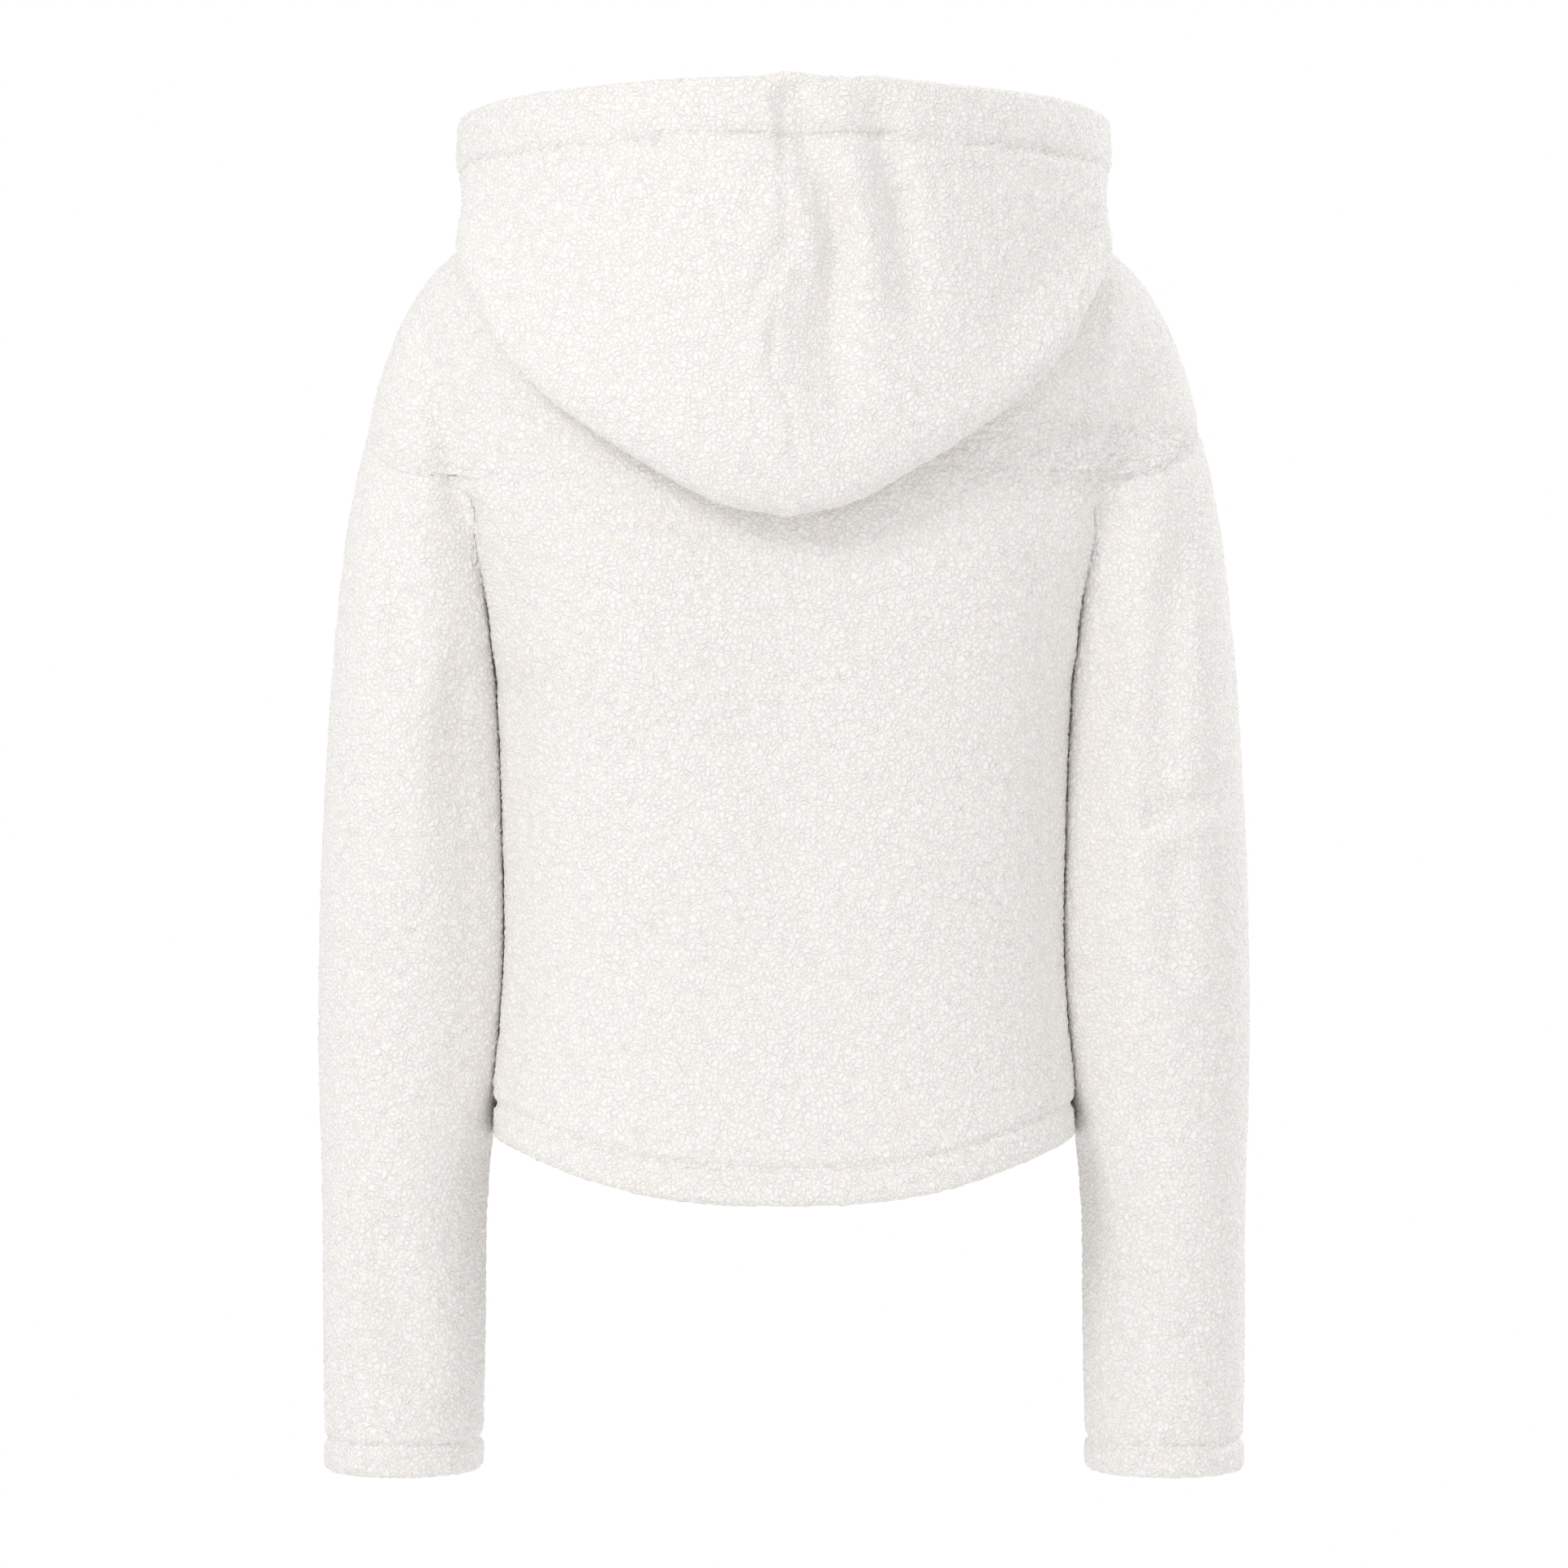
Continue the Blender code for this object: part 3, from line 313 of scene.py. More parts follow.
# Creases: soft troughs (or ridges, where the depth is negative) along a path of x, z and depth, seen
# from behind (face 1) or from the front (face -1)
Crease = namedtuple("Crease", "layer face width path")
CREASES = [
    Crease("shell", 1, 0.012, [(0.214, -0.12, 0.0028), (0.2, -0.236, 0.005)]),
    Crease("shell", 1, 0.009, [(0.176, -0.24, 0.0022), (0.177, -0.31, 0.0022)]),
    Crease("shell", 1, 0.016, [(0.196, -0.232, -0.0018), (0.188, -0.33, -0.0018)]),
    Crease("shell", 1, 0.007, [(0.218, -0.392, 0.0016), (0.245, -0.381, 0.0016)]),
    Crease("shell", 1, 0.015, [(0.212, -0.54, 0.0036), (0.2, -0.608, 0.0036)]),
    Crease("shell", 1, 0.012, [(0.238, -0.52, -0.0012), (0.226, -0.59, -0.0012)]),
    Crease("shell", 1, 0.012, [(-0.222, -0.118, 0.0026), (-0.206, -0.195, 0.0075), (-0.201, -0.3, 0.0048)]),
    Crease("shell", 1, 0.008, [(-0.198, -0.312, 0.0044), (-0.222, -0.302, 0.0044)]),
    Crease("shell", 1, 0.009, [(-0.2, -0.322, -0.0018), (-0.226, -0.316, -0.0018)]),
    Crease("shell", 1, 0.011, [(-0.206, -0.335, 0.004), (-0.209, -0.388, 0.004)]),
    Crease("shell", 1, 0.013, [(-0.192, -0.47, 0.002), (-0.196, -0.53, 0.002)]),
    Crease("shell", 1, 0.024, [(0.12, -0.15, 0.0022), (0.15, -0.24, 0.0022)]),
    Crease("shell", 1, 0.022, [(-0.125, -0.14, 0.0026), (-0.155, -0.215, 0.0026)]),
    Crease("shell", 1, 0.03, [(0.02, -0.19, 0.0018), (-0.012, -0.33, 0.0018)]),
    Crease("shell", 1, 0.024, [(0.115, -0.36, 0.0018), (0.135, -0.45, 0.0018)]),
    Crease("shell", 1, 0.024, [(-0.11, -0.35, 0.0018), (-0.132, -0.44, 0.0018)]),
    Crease("shell", 1, 0.018, [
        (-0.208, -0.014, 0.001), (-0.199, -0.058, 0.0036), (-0.19, -0.108, 0.0046),
        (-0.184, -0.152, 0.005), (-0.178, -0.192, 0.004), (-0.173, -0.235, 0.002),
    ]),
    Crease("shell", 1, 0.008, [
        (-0.183, -0.014, -0.001), (-0.173, -0.058, -0.003), (-0.165, -0.108, -0.0034),
        (-0.158, -0.16, -0.0036), (-0.151, -0.23, -0.0026), (-0.147, -0.3, -0.0012),
    ]),
    Crease("shell", 1, 0.0075, [
        (0.201, -0.02, 0.001), (0.19, -0.056, 0.0028), (0.18, -0.1, 0.004),
        (0.173, -0.146, 0.0034), (0.168, -0.19, 0.0014),
    ]),
    Crease("shell", 1, 0.01, [
        (0.187, -0.02, -0.0008), (0.175, -0.06, -0.002), (0.164, -0.11, -0.0026),
        (0.154, -0.19, -0.0022), (0.149, -0.25, -0.0008),
    ]),
    Crease("shell", -1, 0.014, [(0.212, -0.14, 0.005), (0.2, -0.24, 0.005)]),
    Crease("shell", -1, 0.014, [(-0.214, -0.14, 0.005), (-0.201, -0.25, 0.005)]),
    Crease("shell", -1, 0.01, [(0.224, -0.318, 0.005), (0.178, -0.345, 0.005)]),
    Crease("shell", -1, 0.01, [(-0.222, -0.33, 0.005), (-0.178, -0.352, 0.005)]),
    Crease("shell", -1, 0.01, [(0.222, -0.34, 0.003), (0.186, -0.372, 0.003)]),
    Crease("shell", -1, 0.01, [(-0.22, -0.356, 0.0028), (-0.188, -0.38, 0.0028)]),
    Crease("shell", -1, 0.014, [(0.15, -0.235, 0.003), (0.095, -0.2, 0.003)]),
    Crease("shell", -1, 0.014, [(-0.15, -0.24, 0.0032), (-0.1, -0.196, 0.0032)]),
    Crease("shell", -1, 0.022, [(0.12, -0.33, 0.002), (0.105, -0.43, 0.002)]),
    Crease("shell", -1, 0.022, [(-0.116, -0.32, 0.002), (-0.108, -0.43, 0.002)]),
    Crease("hood", 1, 0.01, [(-0.004, 0.056, 0.006), (-0.027, -0.014, 0.0085), (-0.029, -0.09, 0.0036)]),
    Crease("hood", 1, 0.01, [(-0.049, 0.05, 0.0048), (-0.06, 0.005, 0.007), (-0.068, -0.05, 0.0036)]),
    Crease("hood", 1, 0.009, [(-0.036, 0.02, -0.0022), (-0.044, -0.04, -0.0022)]),
    Crease("hood", 1, 0.006, [(-0.014, 0.01, -0.0014), (-0.016, -0.04, -0.0014)]),
    Crease("hood", 1, 0.006, [(0.003, -0.018, 0.0026), (0.012, -0.052, 0.0026)]),
    Crease("hood", 1, 0.005, [(-0.004, -0.016, 0.002), (-0.012, -0.036, 0.002)]),
    Crease("hood", 1, 0.012, [(0.002, -0.008, -0.001), (0.006, -0.050, -0.0032), (0.0, -0.110, -0.002)]),
    Crease("hood", 1, 0.020, [(-0.018, -0.016, 0.001), (-0.020, -0.060, 0.0042), (-0.026, -0.105, 0.002)]),
    Crease("hood", 1, 0.014, [(-0.118, -0.052, 0.003), (-0.155, -0.012, 0.003)]),
    Crease("hood", 1, 0.018, [(0.12, 0.01, 0.0016), (0.15, -0.006, 0.0016)]),
]


def linear(hex_colour):
    """An sRGB hex colour as linear red, green, blue and alpha."""
    parts = [int(hex_colour[k : k + 2], 16) / 255 for k in (1, 3, 5)]
    return (*(p / 12.92 if p <= 0.04045 else ((p + 0.055) / 1.055) ** 2.4 for p in parts), 1.0)


# The skin, as the solids have it


def smooth_read(values, knots, at):
    """A smooth curve through the values at the knots, read at the given places."""
    slopes = np.gradient(values, knots, axis=0)
    i = np.clip(np.searchsorted(knots, at) - 1, 0, len(knots) - 2)
    step = knots[i + 1] - knots[i]
    s = (at - knots[i]) / step
    if values.ndim > 1:
        s = s.reshape(-1, *[1] * (values.ndim - 1))
        step = step.reshape(s.shape)
    start = values[i] * (1 + 2 * s) * (1 - s) ** 2 + slopes[i] * step * s * (1 - s) ** 2
    end = values[i + 1] * s * s * (3 - 2 * s) + slopes[i + 1] * step * s * s * (s - 1)
    return start + end


def read_curve(table, key, column, at):
    """A smooth curve through one column of a table, read at the given values of the key column."""
    knots = np.array([getattr(row, key) for row in table], float)
    values = np.array([getattr(row, column) for row in table], float)
    order = np.argsort(knots)
    knots = knots[order]
    return smooth_read(values[order], knots, np.clip(at, knots[0], knots[-1]))


def smooth_step(value, start, end):
    """0 before start, 1 past end and a soft rise between them."""
    s = np.clip((value - start) / (end - start), 0, 1)
    return s * s * (3 - 2 * s)


def spaced(points, count):
    """The same line with count + 1 points at even distances along it."""
    steps = np.linalg.norm(np.diff(points, axis=0), axis=1)
    run = np.concatenate([[0], np.cumsum(steps)])
    at = np.linspace(0, run[-1], count + 1)
    return np.stack([np.interp(at, run, points[:, k]) for k in range(points.shape[1])], axis=1)


def softened(points, passes):
    """The same line with its corners rounded and its ends kept."""
    points = points.copy()
    for _ in range(passes):
        points[1:-1] = (points[:-2] + 2 * points[1:-1] + points[2:]) / 4
    return points


# Torso and shoulders


def centre_y(z, face):
    """The centre line's distance from the axis at a height: face is 1 at the back and -1 in front."""
    return read_curve(CENTRE_BACK if face > 0 else CENTRE_FRONT, "z", "y", z)


def squareness(face):
    return BACK_SQUARENESS if face > 0 else FRONT_SQUARENESS


def torso_section(angles, z, face):
    """Points of the torso's section, from the centre line (0) to the side (90 degrees)."""
    power = 2 / squareness(face)
    x = read_curve(TORSO, "z", "half_width", z) * np.sin(angles) ** power
    y = centre_y(z, face) * np.maximum(np.cos(angles), 0) ** power
    return np.stack([x, y], axis=-1)


def sleeve_section(angles, z, face):
    """Points of the sleeve's oval, from its outer side (0) over the given face to its inner side."""
    inner = read_curve(SLEEVE, "z", "inner_x", z)
    outer = read_curve(SLEEVE, "z", "outer_x", z)
    x = (inner + outer) / 2 + (outer - inner) / 2 * np.cos(angles)
    depth = read_curve(SLEEVE, "z", "half_depth", z)
    y = read_curve(SLEEVE, "z", "mid_y", z) + face * depth * np.sin(angles)
    return np.stack([x, y], axis=-1)


def valley_angle(z, face):
    """The angle on the sleeve's oval where it sinks into the torso, in the fold beside the arm."""
    power = squareness(face)
    half_width = read_curve(TORSO, "z", "half_width", z)
    depth = abs(centre_y(z, face))
    outside = math.radians(10)
    inside = math.pi
    for _ in range(40):
        middle = (outside + inside) / 2
        x, y = sleeve_section(middle, z, face)
        if (x / half_width) ** power + (abs(y) / depth) ** power > 1:
            outside = middle
        else:
            inside = middle
    return (outside + inside) / 2


def joined_outline(z, face, arm_angle):
    """The skin at one height from the centre line to the armhole, as x, y.

    It follows the torso into the fold beside the arm and, where arm_angle is given, the arm from the
    fold to that angle.
    """
    valley = valley_angle(z, face)
    valley_x = sleeve_section(valley, z, face)[0]
    half_width = read_curve(TORSO, "z", "half_width", z)
    reach = min(valley_x / half_width, 1.0)
    last = math.asin(reach ** (squareness(face) / 2))
    line = torso_section(np.linspace(0, last, 90), z, face)
    if arm_angle is None:
        return line
    arm = sleeve_section(np.linspace(valley, arm_angle, 60)[1:], z, face)
    return softened(spaced(np.concatenate([line, arm]), 120), 24)


def dome_outline(row, face, power):
    """A shoulder row as one dome from the centre line to the shoulder seam, as x, y."""
    z = row.back_z if face > 0 else row.front_z
    angles = np.linspace(0, math.pi / 2, 120)
    middle = centre_y(z, face)
    x = row.seam_x * np.sin(angles) ** (2 / power)
    y = row.seam_y + (middle - row.seam_y) * np.maximum(np.cos(angles), 0) ** (2 / power)
    return np.stack([x, y], axis=-1)


def shoulder_rows(face):
    """Rows from the neck to the tip of the shoulder, each from the centre line to the shoulder seam."""
    rows = []
    for i, row in enumerate(SHOULDER_ROWS):
        down = i / (len(SHOULDER_ROWS) - 1)
        power = NECK_SQUARENESS + (SHOULDER_SQUARENESS - NECK_SQUARENESS) * down
        line = spaced(dome_outline(row, face, power), COLUMNS)
        blend = smooth_step(-row.seam_z, -VALLEY_TOP_Z, -VALLEY_FULL_Z)
        if blend > 0:
            joined = spaced(joined_outline(row.seam_z, face, 0.0), COLUMNS)
            line[:-1] += blend * (joined - line)[:-1]
        middle_z = row.back_z if face > 0 else row.front_z
        z = middle_z + (row.seam_z - middle_z) * (line[:, 0] / row.seam_x) ** 1.8
        rows.append(np.column_stack([line, z]))
    return rows


def armhole_rows(face):
    """Level rows beside the armhole, each from the centre line to the armhole seam."""
    rows = []
    for row in ARMHOLE_ROWS:
        arm_angle = None if row.arm_angle is None else math.radians(row.arm_angle)
        line = spaced(joined_outline(row.z, face, arm_angle), COLUMNS)
        rows.append(np.column_stack([line, np.full(COLUMNS + 1, row.z)]))
    return rows


def torso_rows(face):
    """Rows below the underarm, from the centre line to the side seam, down to the dipped hem."""
    drop = HEM_BACK_DROP if face > 0 else HEM_FRONT_DROP
    body_share = 1 - HEM_DEPTH / (UNDERARM_Z - HEM_SIDE_Z)
    shares = np.append(np.linspace(0, body_share, TORSO_ROWS + 1)[1:], 1)
    fine = np.linspace(0, math.pi / 2, 200)
    rows = []
    for share in shares:
        level = UNDERARM_Z + share * (HEM_SIDE_Z - UNDERARM_Z)
        outline = np.column_stack([torso_section(fine, level, face), fine])
        angles = spaced(outline, COLUMNS)[:, 2]
        dip = drop * np.maximum(np.cos(angles), 0) ** (HEM_DROP_POWER * 2 / squareness(face))
        z = level - share * dip
        rows.append(np.column_stack([torso_section(angles, z, face), z]))
    return rows


def body_quarter(face):
    """The left half of the back (face 1) or of the front (face -1): rows from the neck to the hem."""
    return np.array(shoulder_rows(face) + armhole_rows(face) + torso_rows(face))


def opened_for_zip(front):
    """The left front with its centre edge moved out to the zip's slot."""
    front = front.copy()
    ends = front[:, -1:, 0]
    front[..., 0] += SLOT * (1 - front[..., 0] / ends)
    return front


# Sleeves


def sleeve_tube(back, front):
    """The left sleeve as rings from the armhole seam to the cuff, each from the outer side over the
    back, the underarm and the front."""
    first = len(SHOULDER_ROWS) - 1
    last = first + len(ARMHOLE_ROWS)
    back_seam = back[first : last + 1, -1]
    front_seam = front[first : last + 1, -1]
    count = len(ARMHOLE_ROWS)
    back_angles = seam_angles(1)
    front_angles = seam_angles(-1)
    body_end = CUFF_Z + CUFF_HEM_DEPTH
    levels = np.append(np.linspace(SLEEVE_LEVEL_Z, body_end, LEVEL_ROWS), CUFF_Z)
    columns = []
    for j in range(2 * count):
        face = 1 if j <= count else -1
        k = j if j <= count else 2 * count - j
        top = (back_seam if face > 0 else front_seam)[k]
        angle = (back_angles if face > 0 else front_angles)[k]
        shares = np.linspace(0, 1, SLEEVE_TOP_ROWS + 1)[:-1]
        heights = np.concatenate([top[2] + shares * (SLEEVE_LEVEL_Z - top[2]), levels])
        even = math.pi * k / count
        turn = smooth_step(-heights, 0.10, 0.40)
        angles = angle + turn * (even - angle)
        points = np.column_stack([sleeve_section(angles, heights, face), heights])
        points[0] = top
        columns.append(points)
    return np.array(columns).transpose(1, 0, 2)


def seam_angles(face):
    """Where the armhole seam's points lie on the sleeve's oval."""
    angles = [0.0]
    for row in ARMHOLE_ROWS[:-1]:
        if row.arm_angle is None:
            angles.append(valley_angle(row.z, face))
        else:
            angles.append(math.radians(row.arm_angle))
    return angles + [math.pi]


# Hood


def body_profile(azimuth, back, front):
    """The shoulders' skin in one upright plane through the hood's axis, from the neck down, as distance
    from the axis and height."""
    profile = []
    for back_row, front_row in zip(back, front):
        half = np.concatenate([back_row, front_row[::-1][1:]])
        turns = np.arctan2(half[:, 1] - HOOD_AXIS_Y, half[:, 0])[::-1]
        x, y, z = (np.interp(azimuth, turns, half[::-1, k]) for k in range(3))
        profile.append((math.hypot(x, y - HOOD_AXIS_Y), z))
    return np.array(profile)


def along(line, run, at):
    """The point at a distance along a line, and the unit normal to its left there."""
    point = np.array([np.interp(at, run, line[:, k]) for k in range(2)])
    ahead = np.array([np.interp(at + 0.01, run, line[:, k]) for k in range(2)])
    behind = np.array([np.interp(at - 0.01, run, line[:, k]) for k in range(2)])
    tangent = (ahead - behind) / np.linalg.norm(ahead - behind)
    return point, np.array([-tangent[1], tangent[0]])


def hood_profile(azimuth, shoulders):
    """One upright profile of the hood, as distance from its axis and height, from the neck to the rim."""
    pouch, bottom_z, turn, belly_r, rim_r, rim_z = (
        float(read_curve(HOOD, "azimuth", column, azimuth)) for column in HoodProfile._fields[1:]
    )
    run = np.concatenate([[0], np.linalg.norm(np.diff(shoulders, axis=0), axis=1).cumsum()])
    end = float(np.interp(-bottom_z, -shoulders[:, 1], run))
    seam = shoulders[0]
    rim = np.array([rim_r, rim_z])
    full = [seam, seam + (0.001, STAND_RISE), seam + (ROLL_OUT, ROLL_RISE)]
    for at in np.linspace(ROLL_LENGTH, end - turn / 2, LIE_POINTS):
        point, normal = along(shoulders, run, at)
        full.append(point + normal * HOOD_REST)
    heel, normal = along(shoulders, run, end - turn / 2)
    tip, tip_normal = along(shoulders, run, end)
    full.append(tip + tip_normal * (HOOD_REST + turn / 2))
    toe = heel + normal * (HOOD_REST + turn)
    full.append(toe)
    full.append(np.array([belly_r, toe[1] + BELLY_SHARE * (rim_z - toe[1])]))
    full.append(rim)
    full = np.array(full)
    shares = np.linspace(0, 1, len(full))[:, None]
    plain = seam + shares * (rim - seam)
    return rounded_line(plain + np.clip(pouch, 0, 1) * (full - plain), PROFILE_ROWS)


def rounded_line(corners, counts):
    """A smooth line through the corners, with the given number of steps from each to the next."""
    ends = [2 * corners[0] - corners[1], *corners, 2 * corners[-1] - corners[-2]]
    points = []
    for count, before, start, end, after in zip(counts, ends, ends[1:], ends[2:], ends[3:]):
        for s in np.linspace(0, 1, count, endpoint=False):
            bend = (2 * before - 5 * start + 4 * end - after) * s * s
            twist = (3 * start - before - 3 * end + after) * s**3
            points.append((2 * start + (end - before) * s + bend + twist) / 2)
    points.append(ends[-2])
    return np.array(points)


def hood_half(neck, back, front):
    """The left half of the hood over the neck seam's points, which run from the back to the front."""
    columns = []
    for x, y, z in neck:
        azimuth = math.atan2(y - HOOD_AXIS_Y, x)
        shoulders = body_profile(azimuth, back, front)
        shoulders[0] = math.hypot(x, y - HOOD_AXIS_Y), z
        profile = hood_profile(math.degrees(azimuth), shoulders)
        r = profile[:, 0]
        ring_y = HOOD_AXIS_Y + r * math.sin(azimuth)
        columns.append(np.column_stack([r * math.cos(azimuth), ring_y, profile[:, 1]]))
    return np.array(columns).transpose(1, 0, 2)


# Fine cloth


class Panel:
    """One cloth piece on a fine grid: rows from its upper seam to its hem, columns across.

    edges says how its first and last column end: at a seam, at the zip's fold, or not at all on a tube.
    """

    def __init__(self, node, layer, grid, hem, edges, spacing):
        self.node = node
        self.layer = layer
        self.hem = hem
        self.edges = edges
        self.ring = edges is None
        self.skin = self.refined(grid, spacing)

    def refined(self, grid, spacing):
        """The grid on a smooth surface through its points, with points about a spacing apart."""
        rows_at = run_along(grid)
        count = round(rows_at[-1] / spacing)
        fine = smooth_read(grid, rows_at, np.linspace(0, rows_at[-1], count + 1))
        steps = np.linalg.norm(np.diff(fine, axis=0), axis=2)
        run = np.concatenate([steps[:1] * 0, np.cumsum(steps, axis=0)])
        kept = run - HEM_WALL / 2 * smooth_step(run, run[-1] - HEM_EASE, run[-1])
        for j, k in np.ndindex(fine.shape[1:]):
            fine[:, j, k] = np.interp(kept[:, j], run[:, j], fine[:, j, k])
        extra = 3
        if self.ring:
            fine = np.concatenate([fine[:, -extra:], fine, fine[:, :extra]], axis=1)
        fine = fine.transpose(1, 0, 2)
        columns_at = run_along(fine)
        if self.ring:
            start, end = columns_at[extra], columns_at[-extra]
            at = np.linspace(start, end, round((end - start) / spacing) + 1)[:-1]
        else:
            at = np.linspace(0, columns_at[-1], round(columns_at[-1] / spacing) + 1)
        return smooth_read(fine, columns_at, at).transpose(1, 0, 2)

    def normals(self):
        points = self.skin
        if self.ring:
            points = np.concatenate([points[:, -1:], points, points[:, :1]], axis=1)
        normal = np.cross(np.gradient(points, axis=1), np.gradient(points, axis=0))
        normal /= np.linalg.norm(normal, axis=2)[..., None]
        return normal[:, 1:-1] if self.ring else normal

    def from_hem(self):
        """Each point's distance from the hem's lower edge."""
        steps = np.linalg.norm(np.diff(self.skin, axis=0), axis=2)
        return np.concatenate([np.cumsum(steps[::-1], axis=0)[::-1], steps[:1] * 0]) + HEM_WALL / 2

    def from_sides(self):
        """Each point's distance from the first column and from the last one."""
        steps = np.linalg.norm(np.diff(self.skin, axis=1), axis=2)
        run = np.concatenate([steps[:, :1] * 0, np.cumsum(steps, axis=1)], axis=1)
        return run, run[:, -1:] - run

    def sewn(self):
        """Which points lie on an edge that is sewn to another piece."""
        chosen = np.zeros(self.skin.shape[:2], bool)
        chosen[0] = True
        for k, edge in zip((0, -1), self.edges or ()):
            if edge == "seam":
                chosen[:, k] = True
        return chosen

    def from_seam(self):
        """Each point's distance from the nearest sewn edge, found at every few points and filled in."""
        edge = self.skin[self.sewn()][::2]
        rows, columns = (
            np.unique(np.append(np.arange(0, count, SEAM_STRIDE), count - 1)) for count in self.skin.shape[:2]
        )
        coarse = self.skin[np.ix_(rows, columns)]
        away = np.array([np.linalg.norm(line[:, None] - edge, axis=2).min(axis=1) for line in coarse])
        across = np.array([np.interp(np.arange(self.skin.shape[1]), columns, line) for line in away])
        return np.array([np.interp(np.arange(self.skin.shape[0]), rows, line) for line in across.T]).T

    def creased(self, normal):
        """Presses in the creases, straight forward or back so that two sewn pieces stay together."""
        self.skin[..., 1] -= crease_depth(self.skin, normal, self.layer)

    def sunk(self, normal):
        """Draws in the seams and the hem's stitch line."""
        if self.layer == "hood":
            self.skin[..., 0] += seam_wander(self.skin, normal)
        groove = SEAM_SINK * seam_share(self.skin)
        depth = groove * np.exp(-((self.from_seam() / SEAM_WIDTH) ** 2))
        hem = self.from_hem()
        depth += STITCH_SINK * np.exp(-(((hem - self.hem) / STITCH_WIDTH) ** 2))
        depth -= HEM_PUFF * np.clip(1 - ((hem - self.hem / 2) / (self.hem / 2)) ** 2, 0, 1)
        if not self.ring:
            for edge, away in zip(self.edges, self.from_sides()):
                if edge == "fold":
                    depth += rounded_edge(away)
        self.inside = self.skin, normal
        self.skin = self.skin - normal * depth[..., None]
        self.skin[0] += SEAM_LAP * unit_rows(self.skin[0] - self.skin[1])
        for k, edge in zip((0, -1), self.edges or ()):
            if edge == "seam":
                inward = self.skin[:, 1 if k == 0 else -2]
                self.skin[:, k] += SEAM_LAP * unit_rows(self.skin[:, k] - inward)

    def shell(self):
        """The whole shell as one grid, from the upper seam down the outside, around the hem's fold and
        up the inside, with how much pile each row has."""
        normal = self.normals()
        away = self.from_hem().mean(axis=1)
        radius = HEM_WALL / 2
        down = unit_rows(self.skin[-1] - self.skin[-2])
        centre = self.skin[-1] - normal[-1] * radius
        turns = np.linspace(0, math.pi, FOLD_ROWS + 2)[1:-1, None, None]
        fold = centre + radius * (np.cos(turns) * normal[-1] + np.sin(turns) * down)
        rows = [self.skin, fold]
        pile = [np.ones(len(self.skin)), np.ones(FOLD_ROWS)]
        turned_up = np.arange(radius, self.hem, TURN_UP_STEP)
        inside = np.arange(self.hem + 0.0005, away[0] - INSIDE_STEP / 2, INSIDE_STEP)
        inner_skin, inner_normal = self.inside
        for distances, thick, nap in ((turned_up, HEM_WALL, 0.7), (inside, WALL, 0.0)):
            picks = [int(np.abs(away - d).argmin()) for d in distances]
            rows.append(inner_skin[picks] - inner_normal[picks] * thick)
            pile.append(np.full(len(picks), nap))
        rows.append(inner_skin[:1] - inner_normal[:1] * WALL)
        pile.append(np.zeros(1))
        return np.concatenate(rows), np.concatenate(pile)

    def mesh(self):
        grid, pile = self.shell()
        rows, columns = grid.shape[:2]
        index = np.arange(rows * columns).reshape(rows, columns)
        if self.ring:
            index = np.concatenate([index, index[:, :1]], axis=1)
        loop = np.concatenate([index, index[:1]])
        quads = np.stack([loop[:-1, :-1], loop[:-1, 1:], loop[1:, 1:], loop[1:, :-1]], axis=-1)
        faces = quads.reshape(-1, 4).tolist()
        if not self.ring:
            faces += rim_faces(index[:, 0], len(self.skin), grid)
            faces += [face[::-1] for face in rim_faces(index[:, -1], len(self.skin), grid)]
        mesh = bpy.data.meshes.new(self.node)
        mesh.from_pydata(grid.reshape(-1, 3).tolist(), [], faces)
        mesh.shade_smooth()
        mesh.set_sharp_from_angle(angle=SHARP_ANGLE)
        attribute = mesh.attributes.new("pile", "FLOAT", "POINT")
        attribute.data.foreach_set("value", np.repeat(pile, columns))
        self.add_uv(mesh, grid)
        return mesh

    def add_uv(self, mesh, grid):
        """A UV map in metres of cloth, across and along the piece."""
        across = run_along(grid[:1].transpose(1, 0, 2))
        along = run_along(grid)
        uv = np.stack(np.broadcast_arrays(across[None, :], along[:, None]), axis=-1).reshape(-1, 2)
        corners = np.empty(len(mesh.loops), int)
        mesh.loops.foreach_get("vertex_index", corners)
        mesh.uv_layers.new(name="cloth").data.foreach_set("uv", uv[corners].ravel())

    def cut(self):
        """The flat width, length and area that the piece was cut to, with its turned-up hem."""
        skin = self.skin
        if self.ring:
            skin = np.concatenate([skin, skin[:, :1]], axis=1)
        widths = np.linalg.norm(np.diff(skin, axis=1), axis=2).sum(axis=1)
        lengths = np.linalg.norm(np.diff(skin, axis=0), axis=2).sum(axis=0)
        length = float(lengths.max()) + self.hem
        area = float(widths.mean() * lengths.mean() + widths[-1] * self.hem)
        return float(widths.max()), length, area


def run_along(grid):
    """The mean distance of each row from the first one."""
    steps = np.linalg.norm(np.diff(grid, axis=0), axis=2).mean(axis=1)
    return np.concatenate([[0], np.cumsum(steps)])


def unit_rows(vectors):
    return vectors / np.linalg.norm(vectors, axis=-1)[..., None]


def seam_share(points):
    """How deep a seam is drawn in: 1 on open cloth, half as deep at the sleeve's head, and less than 0 in
    the fold beside the arm, where the two sides swell against each other."""
    down = -points[..., 2]
    head = smooth_step(down, 0.080, 0.095) * smooth_step(np.abs(points[..., 0]), 0.150, 0.165)
    fold = smooth_step(down, 0.128, 0.142) * (1 - smooth_step(down, 0.240, 0.256))
    return (1 - 0.5 * head) * (1 - fold) - 0.40 * fold


